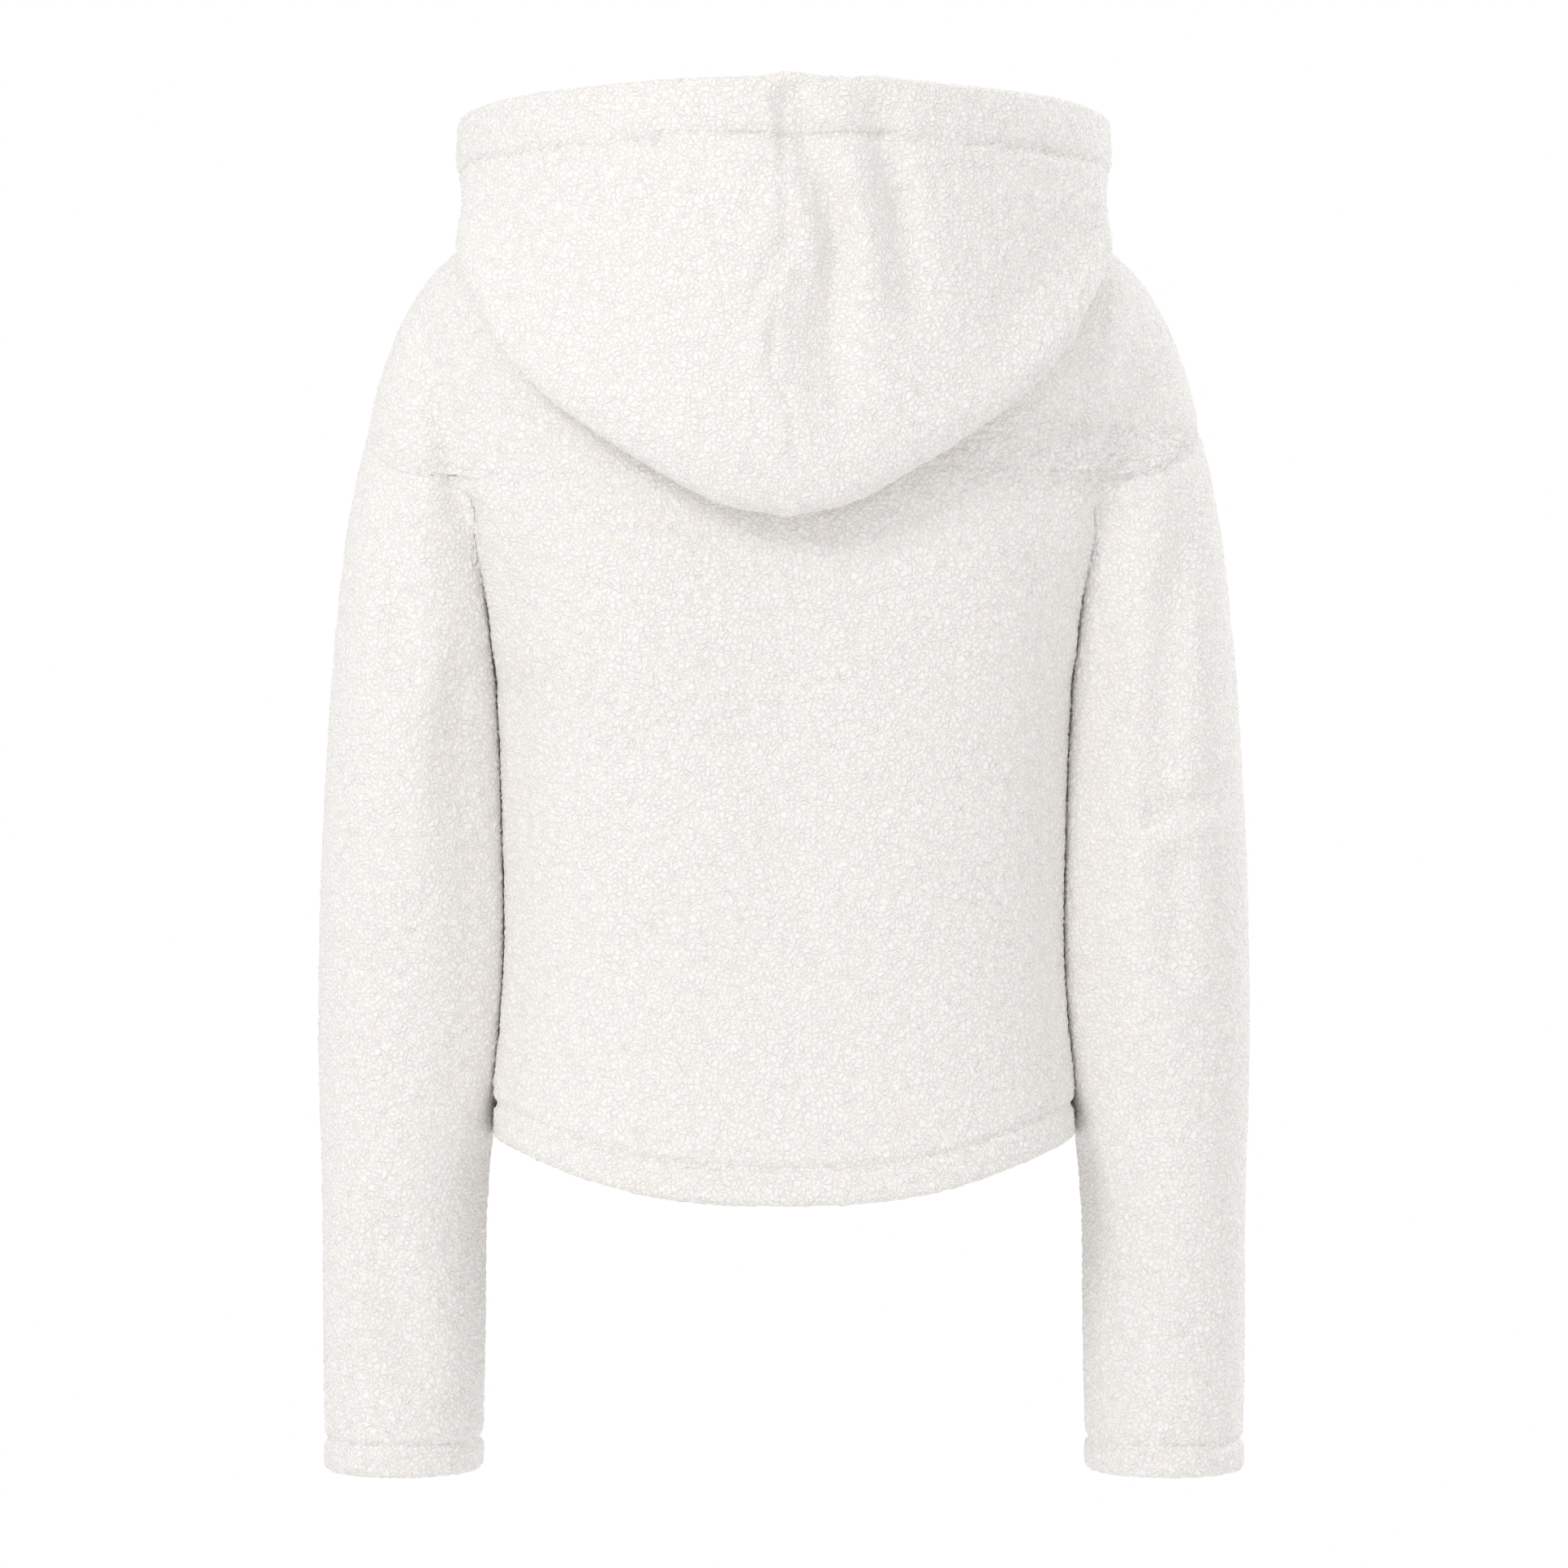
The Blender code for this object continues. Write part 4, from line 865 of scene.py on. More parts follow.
def seam_wander(points, normals):
    """How far the hood's centre seam strays to the side, pulled by its sewing."""
    aside = read_curve(HOOD_SEAM, "z", "x", points[..., 2].ravel()).reshape(points.shape[:2])
    facing = np.clip(2 * normals[..., 1], 0, 1)
    return aside * facing * np.exp(-((points[..., 0] / 0.035) ** 2))


def rounded_edge(away):
    """How far a folded edge curls in, by the distance from it."""
    inside = np.clip(EDGE_ROUND - away, 0, EDGE_ROUND)
    return EDGE_ROUND - np.sqrt(EDGE_ROUND**2 - (0.97 * inside) ** 2)


def crease_depth(points, normals, layer):
    """How far forward each point is pressed, or back where it is less than 0."""
    depth = np.zeros(points.shape[:2])
    for crease in CREASES:
        if crease.layer != layer:
            continue
        nearest = np.full(depth.shape, np.inf)
        own = np.zeros(depth.shape)
        for start, end in zip(crease.path, crease.path[1:]):
            run = np.array(end[:2]) - start[:2]
            flat = points[..., [0, 2]] - start[:2]
            share = np.clip(flat @ run / (run @ run), 0, 1)
            away = np.linalg.norm(flat - share[..., None] * run, axis=-1)
            own = np.where(away < nearest, start[2] + share * (end[2] - start[2]), own)
            nearest = np.minimum(nearest, away)
        facing = np.clip(1.6 * normals[..., 1] * crease.face, 0, 1)
        if layer == "hood":
            facing = facing * smooth_step(points[..., 1], 0.0, HOOD_CREASE_Y)
        depth += CREASE_SCALE * crease.face * own * facing * np.exp(-((nearest / crease.width) ** 2))
    return depth


def rim_faces(ends, outer_count, grid):
    """Triangles that close a piece's side between its outer rows and its inner ones."""
    column = 0 if ends[0] == 0 else -1
    line = grid[:, column]
    i, j = outer_count - 1, outer_count
    faces = []
    while i > 0 or j < len(ends) - 1:
        outer_next = np.linalg.norm(line[i - 1] - line[j]) if i > 0 else math.inf
        inner_next = np.linalg.norm(line[i] - line[j + 1]) if j < len(ends) - 1 else math.inf
        if outer_next <= inner_next:
            faces.append([int(ends[j]), int(ends[i - 1]), int(ends[i])])
            i -= 1
        else:
            faces.append([int(ends[i]), int(ends[j]), int(ends[j + 1])])
            j += 1
    return faces


def cloth_panels(spacing):
    """Every cloth piece of the garment on its fine grid."""
    back = body_quarter(1)
    front = opened_for_zip(body_quarter(-1))
    neck = np.concatenate([back[0], front[0, ::-1][1:]])
    hood = hood_half(neck, back, front)[:, ::-1]
    sleeve = sleeve_tube(back, front)[:, ::-1]
    whole_back = np.concatenate([mirrored(back), back[:, 1:]], axis=1)
    seams = ("seam", "seam")
    panels = [
        Panel("back", "shell", whole_back, HEM_DEPTH, seams, spacing),
        Panel("front_left", "shell", front[:, ::-1], HEM_DEPTH, ("seam", "fold"), spacing),
        Panel("front_right", "shell", mirrored(front[:, ::-1]), HEM_DEPTH, ("fold", "seam"), spacing),
        Panel("sleeve_left", "shell", sleeve, CUFF_HEM_DEPTH, None, spacing),
        Panel("sleeve_right", "shell", mirrored(sleeve), CUFF_HEM_DEPTH, None, spacing),
        Panel("hood_left", "hood", hood, RIM_HEM_DEPTH, ("fold", "seam"), spacing),
        Panel("hood_right", "hood", mirrored(hood), RIM_HEM_DEPTH, ("seam", "fold"), spacing),
    ]
    for panel, normal in zip(panels, shared_normals(panels)):
        panel.creased(normal)
    press_arms(panels)
    for panel, normal in zip(panels, shared_normals(panels)):
        panel.sunk(normal)
    return panels


def point_tree(points):
    tree = KDTree(len(points))
    for k, point in enumerate(points):
        tree.insert(point, k)
    tree.balance()
    return tree


def beside_arm(points):
    """How much of the pressing each point takes, where the sleeves hang against the body."""
    down, aside = -points[..., 2], np.abs(points[..., 0])
    length = smooth_step(down, 0.135, 0.165) * (1 - smooth_step(down, 0.450, 0.482))
    return length * smooth_step(aside, 0.118, 0.130) * (1 - smooth_step(aside, 0.178, 0.190))


def press_arms(panels):
    """Closes the narrow gaps between the sleeves and the body, as soft cloth that hangs side by side does:
    each face moves towards the other by up to half of the gap."""
    sleeves = [panel for panel in panels if panel.ring]
    body = [panel for panel in panels if panel.layer == "shell" and not panel.ring]
    moves = []
    for own, others in ((sleeves, body), (body, sleeves)):
        points = np.concatenate([other.skin[beside_arm(other.skin) > 0] for other in others])
        tree = point_tree(points)
        for panel in own:
            share = beside_arm(panel.skin)
            move = np.zeros_like(panel.skin)
            for i, j in np.argwhere(share > 0):
                near = [found[1] for found in tree.find_n(panel.skin[i, j], PRESS_NEIGHBOURS)]
                across = points[near].mean(axis=0) - panel.skin[i, j]
                gap = np.linalg.norm(across)
                if PRESS_MESH < gap < PRESS_REACH:
                    closing = (gap + PRESS_MESH) * (1 - smooth_step(gap, PRESS_CLOSED, PRESS_REACH)) / 2
                    closing *= smooth_step(gap, PRESS_MESH, 3 * PRESS_MESH)
                    move[i, j] = share[i, j] * closing * across / gap
            moves.append((panel, move))
    for panel, move in moves:
        panel.skin = panel.skin + move


def shared_normals(panels):
    """Each panel's normals, eased towards a common one where two pieces are sewn together."""
    fields = [panel.normals() for panel in panels]
    for layer in ("shell", "hood"):
        members = [k for k, panel in enumerate(panels) if panel.layer == layer]
        points = np.concatenate([panels[k].skin[panels[k].sewn()] for k in members])
        normals = np.concatenate([fields[k][panels[k].sewn()] for k in members])
        tree = point_tree(points)
        around = [[found[1] for found in tree.find_range(point, SEAM_EASE / 4)] for point in points]
        common = unit_rows(np.array([normals[found].mean(axis=0) for found in around]))
        for k in members:
            away = panels[k].from_seam()
            for i, j in np.argwhere(away < SEAM_EASE):
                nearest = tree.find(panels[k].skin[i, j])[1]
                share = 1 - smooth_step(away[i, j], 0, SEAM_EASE)
                mixed = fields[k][i, j] + share * (common[nearest] - fields[k][i, j])
                fields[k][i, j] = mixed / np.linalg.norm(mixed)
    return fields


def mirrored(grid):
    """The right-hand copy of a left-hand grid, with its columns in the other order."""
    return (grid * np.array([-1, 1, 1]))[:, ::-1]


# Node helpers


def add_node(tree, kind, settings=None, inputs=None):
    """Adds a node. settings are its own values, inputs its sockets' values or the sockets that feed them."""
    node = tree.nodes.new(kind)
    for name, value in (settings or {}).items():
        setattr(node, name, value)
    for name, value in (inputs or {}).items():
        if isinstance(value, bpy.types.NodeSocket):
            tree.links.new(value, node.inputs[name])
        else:
            node.inputs[name].default_value = value
    return node


def pile_pattern(tree, place, nub):
    """Adds the nubs of teddy pile: 1 on top of a nub and 0 deep between nubs. It is the same in the
    cloth's shape and in its material."""
    wander = add_node(
        tree,
        "ShaderNodeTexNoise",
        {"noise_dimensions": "3D"},
        {"Vector": place, "Scale": 0.42 / nub, "Detail": 1.0},
    )
    shift = add_node(
        tree, "ShaderNodeVectorMath", {"operation": "SUBTRACT"}, {0: wander.outputs["Color"], 1: (0.5,) * 3}
    )
    bent = add_node(
        tree,
        "ShaderNodeVectorMath",
        {"operation": "MULTIPLY_ADD"},
        {0: shift.outputs[0], 1: (1.5 * nub,) * 3, 2: place},
    )
    heights = []
    for size in (nub, 0.55 * nub):
        cells = add_node(
            tree,
            "ShaderNodeTexVoronoi",
            {"feature": "DISTANCE_TO_EDGE"},
            {"Vector": bent.outputs[0], "Scale": 1 / size},
        )
        slope = add_node(
            tree,
            "ShaderNodeMapRange",
            {},
            {
                "Value": cells.outputs["Distance"],
                "From Min": 0.0,
                "From Max": NUB_ROUND,
                "To Min": 1.0,
                "To Max": 0.0,
            },
        )
        squared = add_node(
            tree, "ShaderNodeMath", {"operation": "POWER"}, {0: slope.outputs[0], 1: 2.0}
        )
        dome = add_node(tree, "ShaderNodeMath", {"operation": "SUBTRACT"}, {0: 1.0, 1: squared.outputs[0]})
        eased = add_node(tree, "ShaderNodeMath", {"operation": "POWER"}, {0: dome.outputs[0], 1: 1.6})
        heights.append(eased.outputs[0])
    mixed = add_node(
        tree, "ShaderNodeMix", {"data_type": "FLOAT"}, {0: 0.25, 2: heights[0], 3: heights[1]}
    )
    return mixed.outputs[0]


def pile_tree(nub):
    """Geometry nodes that raise the pile on a cloth shell and give it its fleece and its knit backing."""
    tree = bpy.data.node_groups.new("Teddy pile", "GeometryNodeTree")
    add_socket = tree.interface.new_socket
    add_socket("Geometry", in_out="INPUT", socket_type="NodeSocketGeometry")
    depth = add_socket("Pile depth", in_out="INPUT", socket_type="NodeSocketFloat")
    fleece = add_socket("Fleece", in_out="INPUT", socket_type="NodeSocketMaterial")
    backing = add_socket("Backing", in_out="INPUT", socket_type="NodeSocketMaterial")
    add_socket("Geometry", in_out="OUTPUT", socket_type="NodeSocketGeometry")
    given = add_node(tree, "NodeGroupInput")
    place = add_node(tree, "GeometryNodeInputPosition")
    kept = add_node(
        tree,
        "GeometryNodeStoreNamedAttribute",
        {"data_type": "FLOAT_VECTOR", "domain": "POINT"},
        {"Geometry": given.outputs["Geometry"], "Name": "nap", "Value": place.outputs[0]},
    )
    pile = add_node(tree, "GeometryNodeInputNamedAttribute", {"data_type": "FLOAT"}, {"Name": "pile"})
    uneven = add_node(
        tree, "ShaderNodeTexNoise", {}, {"Vector": place.outputs[0], "Scale": 60.0, "Detail": 2.0}
    )
    top = pile_pattern(tree, place.outputs[0], nub)
    low = add_node(tree, "ShaderNodeMath", {"operation": "SUBTRACT"}, {0: top, 1: 0.55})
    soft = add_node(
        tree, "ShaderNodeMath", {"operation": "MULTIPLY_ADD"}, {0: uneven.outputs[0], 1: 0.9, 2: -0.45}
    )
    height = add_node(tree, "ShaderNodeMath", {"operation": "ADD"}, {0: low.outputs[0], 1: soft.outputs[0]})
    scaled = add_node(
        tree,
        "ShaderNodeMath",
        {"operation": "MULTIPLY"},
        {0: height.outputs[0], 1: given.outputs["Pile depth"]},
    )
    masked = add_node(
        tree, "ShaderNodeMath", {"operation": "MULTIPLY"}, {0: scaled.outputs[0], 1: pile.outputs["Attribute"]}
    )
    normal = add_node(tree, "GeometryNodeInputNormal")
    offset = add_node(
        tree, "ShaderNodeVectorMath", {"operation": "SCALE"}, {0: normal.outputs[0], "Scale": masked.outputs[0]}
    )
    raised = add_node(
        tree, "GeometryNodeSetPosition", {}, {"Geometry": kept.outputs[0], "Offset": offset.outputs[0]}
    )
    real = add_node(tree, "GeometryNodeRealizeInstances", {}, {"Geometry": raised.outputs[0]})
    outside = add_node(
        tree,
        "GeometryNodeSetMaterial",
        {},
        {"Geometry": real.outputs[0], "Material": given.outputs["Fleece"]},
    )
    plain = add_node(
        tree, "FunctionNodeCompare", {"operation": "LESS_THAN"}, {"A": pile.outputs["Attribute"], "B": 0.2}
    )
    inside = add_node(
        tree,
        "GeometryNodeSetMaterial",
        {},
        {"Geometry": outside.outputs[0], "Selection": plain.outputs[0], "Material": given.outputs["Backing"]},
    )
    add_node(tree, "NodeGroupOutput", {}, {"Geometry": inside.outputs[0]})
    return tree, {"depth": depth.identifier, "fleece": fleece.identifier, "backing": backing.identifier}


def plain_object(name, source):
    """A plain mesh object of what the source object's modifiers make. The source is removed."""
    graph = bpy.context.evaluated_depsgraph_get()
    mesh = bpy.data.meshes.new_from_object(source.evaluated_get(graph))
    mesh.name = name
    bpy.data.objects.remove(source, do_unlink=True)
    thing = bpy.data.objects.new(name, mesh)
    bpy.context.scene.collection.objects.link(thing)
    return thing


# Materials


def new_material(name):
    material = bpy.data.materials.new(name)
    material.use_nodes = True
    return material, material.node_tree, material.node_tree.nodes["Principled BSDF"]


def fleece_material(settings):
    """Teddy fleece: knitted polyester pile brushed and tumbled into curls. It scatters light softly,
    has no gloss, and the gaps between the curls are painted a little darker and warmer than the white tips:
    painted shade."""
    material, tree, shader = new_material("teddy_fleece_polyester")
    nap = add_node(tree, "ShaderNodeAttribute", {"attribute_name": "nap"})
    top = pile_pattern(tree, nap.outputs["Vector"], settings.nub_size)
    tint = add_node(
        tree, "ShaderNodeTexNoise", {}, {"Vector": nap.outputs["Vector"], "Scale": 45.0, "Detail": 3.0}
    )
    # The gap colours are painted shade deep between the curls, varied at random by the noise; they are not the
    # fleece's own colour.
    gap = add_node(
        tree,
        "ShaderNodeMix",
        {"data_type": "RGBA"},
        {0: tint.outputs[0], 6: settings.painted_gap_shade, 7: linear("#F2E6DB")},
    )
    # Low in the pile the colour turns from the tips' colour to the painted gap shade.
    unshaded_share = add_node(
        tree,
        "ShaderNodeMapRange",
        {"interpolation_type": "SMOOTHSTEP"},
        {"Value": top, "From Min": 0.0, "From Max": 0.35},
    )
    colour = add_node(
        tree,
        "ShaderNodeMix",
        {"data_type": "RGBA"},
        {0: unshaded_share.outputs[0], 6: gap.outputs[2], 7: settings.tip_colour},
    )
    tree.links.new(colour.outputs[2], shader.inputs["Base Color"])
    curls = add_node(
        tree, "ShaderNodeTexNoise", {}, {"Vector": nap.outputs["Vector"], "Scale": 1400.0, "Detail": 2.0}
    )
    height = add_node(
        tree, "ShaderNodeMath", {"operation": "MULTIPLY_ADD"}, {0: curls.outputs[0], 1: 0.25, 2: top}
    )
    bump = add_node(
        tree, "ShaderNodeBump", {}, {"Strength": 0.65, "Distance": 0.0010, "Height": height.outputs[0]}
    )
    tree.links.new(bump.outputs[0], shader.inputs["Normal"])
    shader.inputs["Roughness"].default_value = 0.95
    shader.inputs["Specular IOR Level"].default_value = 0.15
    shader.inputs["Sheen Weight"].default_value = 0.25
    shader.inputs["Sheen Roughness"].default_value = 0.6
    return material


def reverse_material(settings):
    """The fleece's reverse: knitted polyester brushed to a short, matted nap, flatter and a little
    duller than the curls outside, over the faint rows of its knit. Its low spots and the dips between the
    knit's rows are painted darker: painted shade, mixed with a random tone."""
    material, tree, shader = new_material("brushed_polyester_knit")
    nap = add_node(tree, "ShaderNodeAttribute", {"attribute_name": "nap"})
    top = pile_pattern(tree, nap.outputs["Vector"], 0.55 * settings.nub_size)
    cloth = add_node(tree, "ShaderNodeUVMap", {"uv_map": "cloth"})
    split = add_node(tree, "ShaderNodeSeparateXYZ", {}, {0: cloth.outputs[0]})
    wale = add_node(
        tree, "ShaderNodeMath", {"operation": "MULTIPLY"}, {0: split.outputs[0], 1: 2 * math.pi / KNIT_WALE}
    )
    rows = add_node(tree, "ShaderNodeMath", {"operation": "SINE"}, {0: wale.outputs[0]})
    height = add_node(
        tree, "ShaderNodeMath", {"operation": "MULTIPLY_ADD"}, {0: rows.outputs[0], 1: 0.25, 2: top}
    )
    tint = add_node(
        tree, "ShaderNodeTexNoise", {}, {"Vector": nap.outputs["Vector"], "Scale": 70.0, "Detail": 4.0}
    )
    # Painted shade: darker where the nap and the knit's rows are low, plus a random tone from the noise.
    painted_shade_and_tone = add_node(
        tree,
        "ShaderNodeMath",
        {"operation": "MULTIPLY_ADD"},
        {0: height.outputs[0], 1: 0.7, 2: tint.outputs[0]},
    )
    # E6DFD4 is the painted shade colour in the dips.
    colour = add_node(
        tree,
        "ShaderNodeMix",
        {"data_type": "RGBA"},
        {0: painted_shade_and_tone.outputs[0], 6: linear("#E6DFD4"), 7: settings.reverse_colour},
    )
    tree.links.new(colour.outputs[2], shader.inputs["Base Color"])
    bump = add_node(
        tree, "ShaderNodeBump", {}, {"Strength": 0.7, "Distance": 0.0006, "Height": height.outputs[0]}
    )
    tree.links.new(bump.outputs[0], shader.inputs["Normal"])
    shader.inputs["Roughness"].default_value = 0.95
    shader.inputs["Specular IOR Level"].default_value = 0.15
    shader.inputs["Sheen Weight"].default_value = 0.2
    return material


def tape_material(settings):
    """Woven polyester zip tape: a fine herringbone of warp and weft, slightly glossy on its ribs. The grooves
    between the ribs are painted darker: painted shade.
    """
    material, tree, shader = new_material("woven_polyester_tape")
    place = add_node(tree, "ShaderNodeTexCoord")
    split = add_node(tree, "ShaderNodeSeparateXYZ", {}, {0: place.outputs["Object"]})
    scale = 2 * math.pi / TAPE_RIB
    zigzag = add_node(
        tree, "ShaderNodeMath", {"operation": "PINGPONG"}, {0: split.outputs[0], 1: 2.2 * TAPE_RIB}
    )
    slanted = add_node(
        tree, "ShaderNodeMath", {"operation": "ADD"}, {0: zigzag.outputs[0], 1: split.outputs[2]}
    )
    ribs = add_node(tree, "ShaderNodeMath", {"operation": "MULTIPLY"}, {0: slanted.outputs[0], 1: scale})
    wave = add_node(tree, "ShaderNodeMath", {"operation": "SINE"}, {0: ribs.outputs[0]})
    height = add_node(
        tree, "ShaderNodeMapRange", {}, {"Value": wave.outputs[0], "From Min": -1.0, "From Max": 1.0}
    )
    # The low parts of the ribs get the darker #D8D2C6: painted shade in the grooves.
    colour = add_node(
        tree,
        "ShaderNodeMix",
        {"data_type": "RGBA"},
        {0: height.outputs[0], 6: linear("#D8D2C6"), 7: settings.tape_colour},
    )
    tree.links.new(colour.outputs[2], shader.inputs["Base Color"])
    bump = add_node(
        tree, "ShaderNodeBump", {}, {"Strength": 0.5, "Distance": 0.0002, "Height": height.outputs[0]}
    )
    tree.links.new(bump.outputs[0], shader.inputs["Normal"])
    shader.inputs["Roughness"].default_value = 0.6
    return material


def metal_material(settings):
    """Nickel-plated zinc, die-cast and tumbled: bright with faint scuffs."""
    material, tree, shader = new_material("nickel_plated_zinc")
    place = add_node(tree, "ShaderNodeTexCoord")
    scuffs = add_node(
        tree,
        "ShaderNodeTexNoise",
        {},
        {"Vector": place.outputs["Object"], "Scale": 900.0, "Detail": 4.0, "Roughness": 0.7},
    )
    rough = add_node(
        tree, "ShaderNodeMapRange", {}, {"Value": scuffs.outputs[0], "To Min": 0.16, "To Max": 0.38}
    )
    tree.links.new(rough.outputs[0], shader.inputs["Roughness"])
    bump = add_node(
        tree, "ShaderNodeBump", {}, {"Strength": 0.15, "Distance": 0.0001, "Height": scuffs.outputs[0]}
    )
    tree.links.new(bump.outputs[0], shader.inputs["Normal"])
    shader.inputs["Base Color"].default_value = settings.metal_colour
    shader.inputs["Metallic"].default_value = 1.0
    return material


def thread_material(settings):
    """Spun polyester sewing thread, twisted from two plies, with a soft sheen. The darker diagonal bands are
    painted shade between the plies.
    """
    material, tree, shader = new_material("spun_polyester_thread")
    place = add_node(tree, "ShaderNodeTexCoord")
    plies = add_node(
        tree,
        "ShaderNodeTexWave",
        {"bands_direction": "DIAGONAL"},
        {"Vector": place.outputs["Object"], "Scale": 500.0, "Distortion": 1.0},
    )
    # E2DCD0 is painted shade in the grooves between the plies; the thread has no bump.
    colour = add_node(
        tree,
        "ShaderNodeMix",
        {"data_type": "RGBA"},
        {0: plies.outputs["Fac"], 6: linear("#E2DCD0"), 7: settings.thread_colour},
    )
    tree.links.new(colour.outputs[2], shader.inputs["Base Color"])
    shader.inputs["Roughness"].default_value = 0.55
    return material


# Sewing and zip


def edge_object(name, paths):
    """A mesh of plain edges along each path."""
    points = [tuple(point) for path in paths for point in path]
    edges = []
    start = 0
    for path in paths:
        edges += [(k, k + 1) for k in range(start, start + len(path) - 1)]
        start += len(path)
    mesh = bpy.data.meshes.new(name)
    mesh.from_pydata(points, edges, [])
    thing = bpy.data.objects.new(name, mesh)
    bpy.context.scene.collection.objects.link(thing)
    return thing


def repeat_tree(name):
    """Geometry nodes that set copies of a shape along a path at even steps, turned along it."""
    tree = bpy.data.node_groups.new(name, "GeometryNodeTree")
    add_socket = tree.interface.new_socket
    add_socket("Geometry", in_out="INPUT", socket_type="NodeSocketGeometry")
    sockets = {
        "shape": add_socket("Shape", in_out="INPUT", socket_type="NodeSocketObject").identifier,
        "step": add_socket("Step", in_out="INPUT", socket_type="NodeSocketFloat").identifier,
        "material": add_socket("Material", in_out="INPUT", socket_type="NodeSocketMaterial").identifier,
    }
    add_socket("Geometry", in_out="OUTPUT", socket_type="NodeSocketGeometry")
    given = add_node(tree, "NodeGroupInput")
    curve = add_node(tree, "GeometryNodeMeshToCurve", {}, {"Mesh": given.outputs["Geometry"]})
    even = add_node(
        tree,
        "GeometryNodeResampleCurve",
        {"mode": "LENGTH"},
        {"Curve": curve.outputs[0], "Length": given.outputs["Step"]},
    )
    shape = add_node(tree, "GeometryNodeObjectInfo", {}, {"Object": given.outputs["Shape"]})
    tangent = add_node(tree, "GeometryNodeInputTangent")
    turned = add_node(
        tree,
        "FunctionNodeAlignRotationToVector",
        {"axis": "Z", "pivot_axis": "AUTO"},
        {"Vector": tangent.outputs[0]},
    )
    copies = add_node(
        tree,
        "GeometryNodeInstanceOnPoints",
        {},
        {"Points": even.outputs[0], "Instance": shape.outputs["Geometry"], "Rotation": turned.outputs[0]},
    )
    real = add_node(tree, "GeometryNodeRealizeInstances", {}, {"Geometry": copies.outputs[0]})
    smooth = add_node(
        tree, "GeometryNodeSetShadeSmooth", {}, {"Geometry": real.outputs[0], "Shade Smooth": True}
    )
    coloured = add_node(
        tree,
        "GeometryNodeSetMaterial",
        {},
        {"Geometry": smooth.outputs[0], "Material": given.outputs["Material"]},
    )
    add_node(tree, "NodeGroupOutput", {}, {"Geometry": coloured.outputs[0]})
    return tree, sockets


def repeated(name, tree, sockets, paths, shape, step, material):
    """A plain object of the shape repeated along the paths. The shape is removed by its maker."""
    source = edge_object(name + "_source", paths)
    modifier = source.modifiers.new("Repeat", "NODES")
    modifier.node_group = tree
    modifier[sockets["shape"]] = shape
    modifier[sockets["step"]] = step
    modifier[sockets["material"]] = material
    return plain_object(name, source)


def shape_object(name, build):
    """An object whose mesh is filled by build, a function of its bmesh."""
    mesh = bpy.data.meshes.new(name)
    form = bmesh.new()
    build(form)
    bmesh.ops.recalc_face_normals(form, faces=form.faces)
    form.to_mesh(mesh)
    form.free()
    thing = bpy.data.objects.new(name, mesh)
    bpy.context.scene.collection.objects.link(thing)
    return thing


def add_plate(form, outline, low_y, high_y, bevel):
    """A flat plate with rounded edges. Its outline is a ring of x, z points."""
    ring = [form.verts.new((x, low_y, z)) for x, z in outline]
    face = form.faces.new(ring)
    raised = bmesh.ops.extrude_face_region(form, geom=[face])["geom"]
    top = [v for v in raised if isinstance(v, bmesh.types.BMVert)]
    bmesh.ops.translate(form, verts=top, vec=(0, high_y - low_y, 0))
    edges = {e for v in (*ring, *top) for e in v.link_edges}
    if bevel:
        flat = [e for e in edges if abs(e.verts[0].co.y - e.verts[1].co.y) < 1e-7]
        bmesh.ops.bevel(form, geom=flat, offset=bevel, segments=2, profile=0.5, affect="EDGES")


def add_block(form, size, centre, bevel):
    """A box with rounded edges."""
    made = bmesh.ops.create_cube(form, size=1)["verts"]
    bmesh.ops.scale(form, vec=size, verts=made)
    bmesh.ops.translate(form, vec=centre, verts=made)
    edges = list({e for v in made for e in v.link_edges})
    bmesh.ops.bevel(form, geom=edges, offset=bevel, segments=2, profile=0.5, affect="EDGES")


def add_tube(form, centre, radius, hole, half_width):
    """A round ring or rod along X, with rounded rims."""
    sides = 28
    lip = min(0.0003, (radius - hole) / 3)
    profile = [
        (hole, -half_width + lip),
        (hole + lip, -half_width),
        (radius - lip, -half_width),
        (radius, -half_width + lip),
        (radius, half_width - lip),
        (radius - lip, half_width),
        (hole + lip, half_width),
        (hole, half_width - lip),
    ]
    rings = []
    for k in range(sides):
        turn = 2 * math.pi * k / sides
        y, z = math.cos(turn), math.sin(turn)
        rings.append([form.verts.new((x, centre[1] + r * y, centre[2] + r * z)) for r, x in profile])
    for ring, after in zip(rings, rings[1:] + rings[:1]):
        for a, b, c, d in zip(ring, ring[1:] + ring[:1], after[1:] + after[:1], after):
            form.faces.new((a, b, c, d))


def rounded_outline(corners, radius, steps=5):
    """A ring of x, z points through the corners, with each corner rounded."""
    points = []
    corners = [np.array(corner) for corner in corners]
    for before, here, after in zip(corners[-1:] + corners[:-1], corners, corners[1:] + corners[:1]):
        start = here + radius * (before - here) / np.linalg.norm(before - here)
        end = here + radius * (after - here) / np.linalg.norm(after - here)
        for s in np.linspace(0, 1, steps):
            points.append(tuple((1 - s) ** 2 * start + 2 * s * (1 - s) * here + s * s * end))
    return points


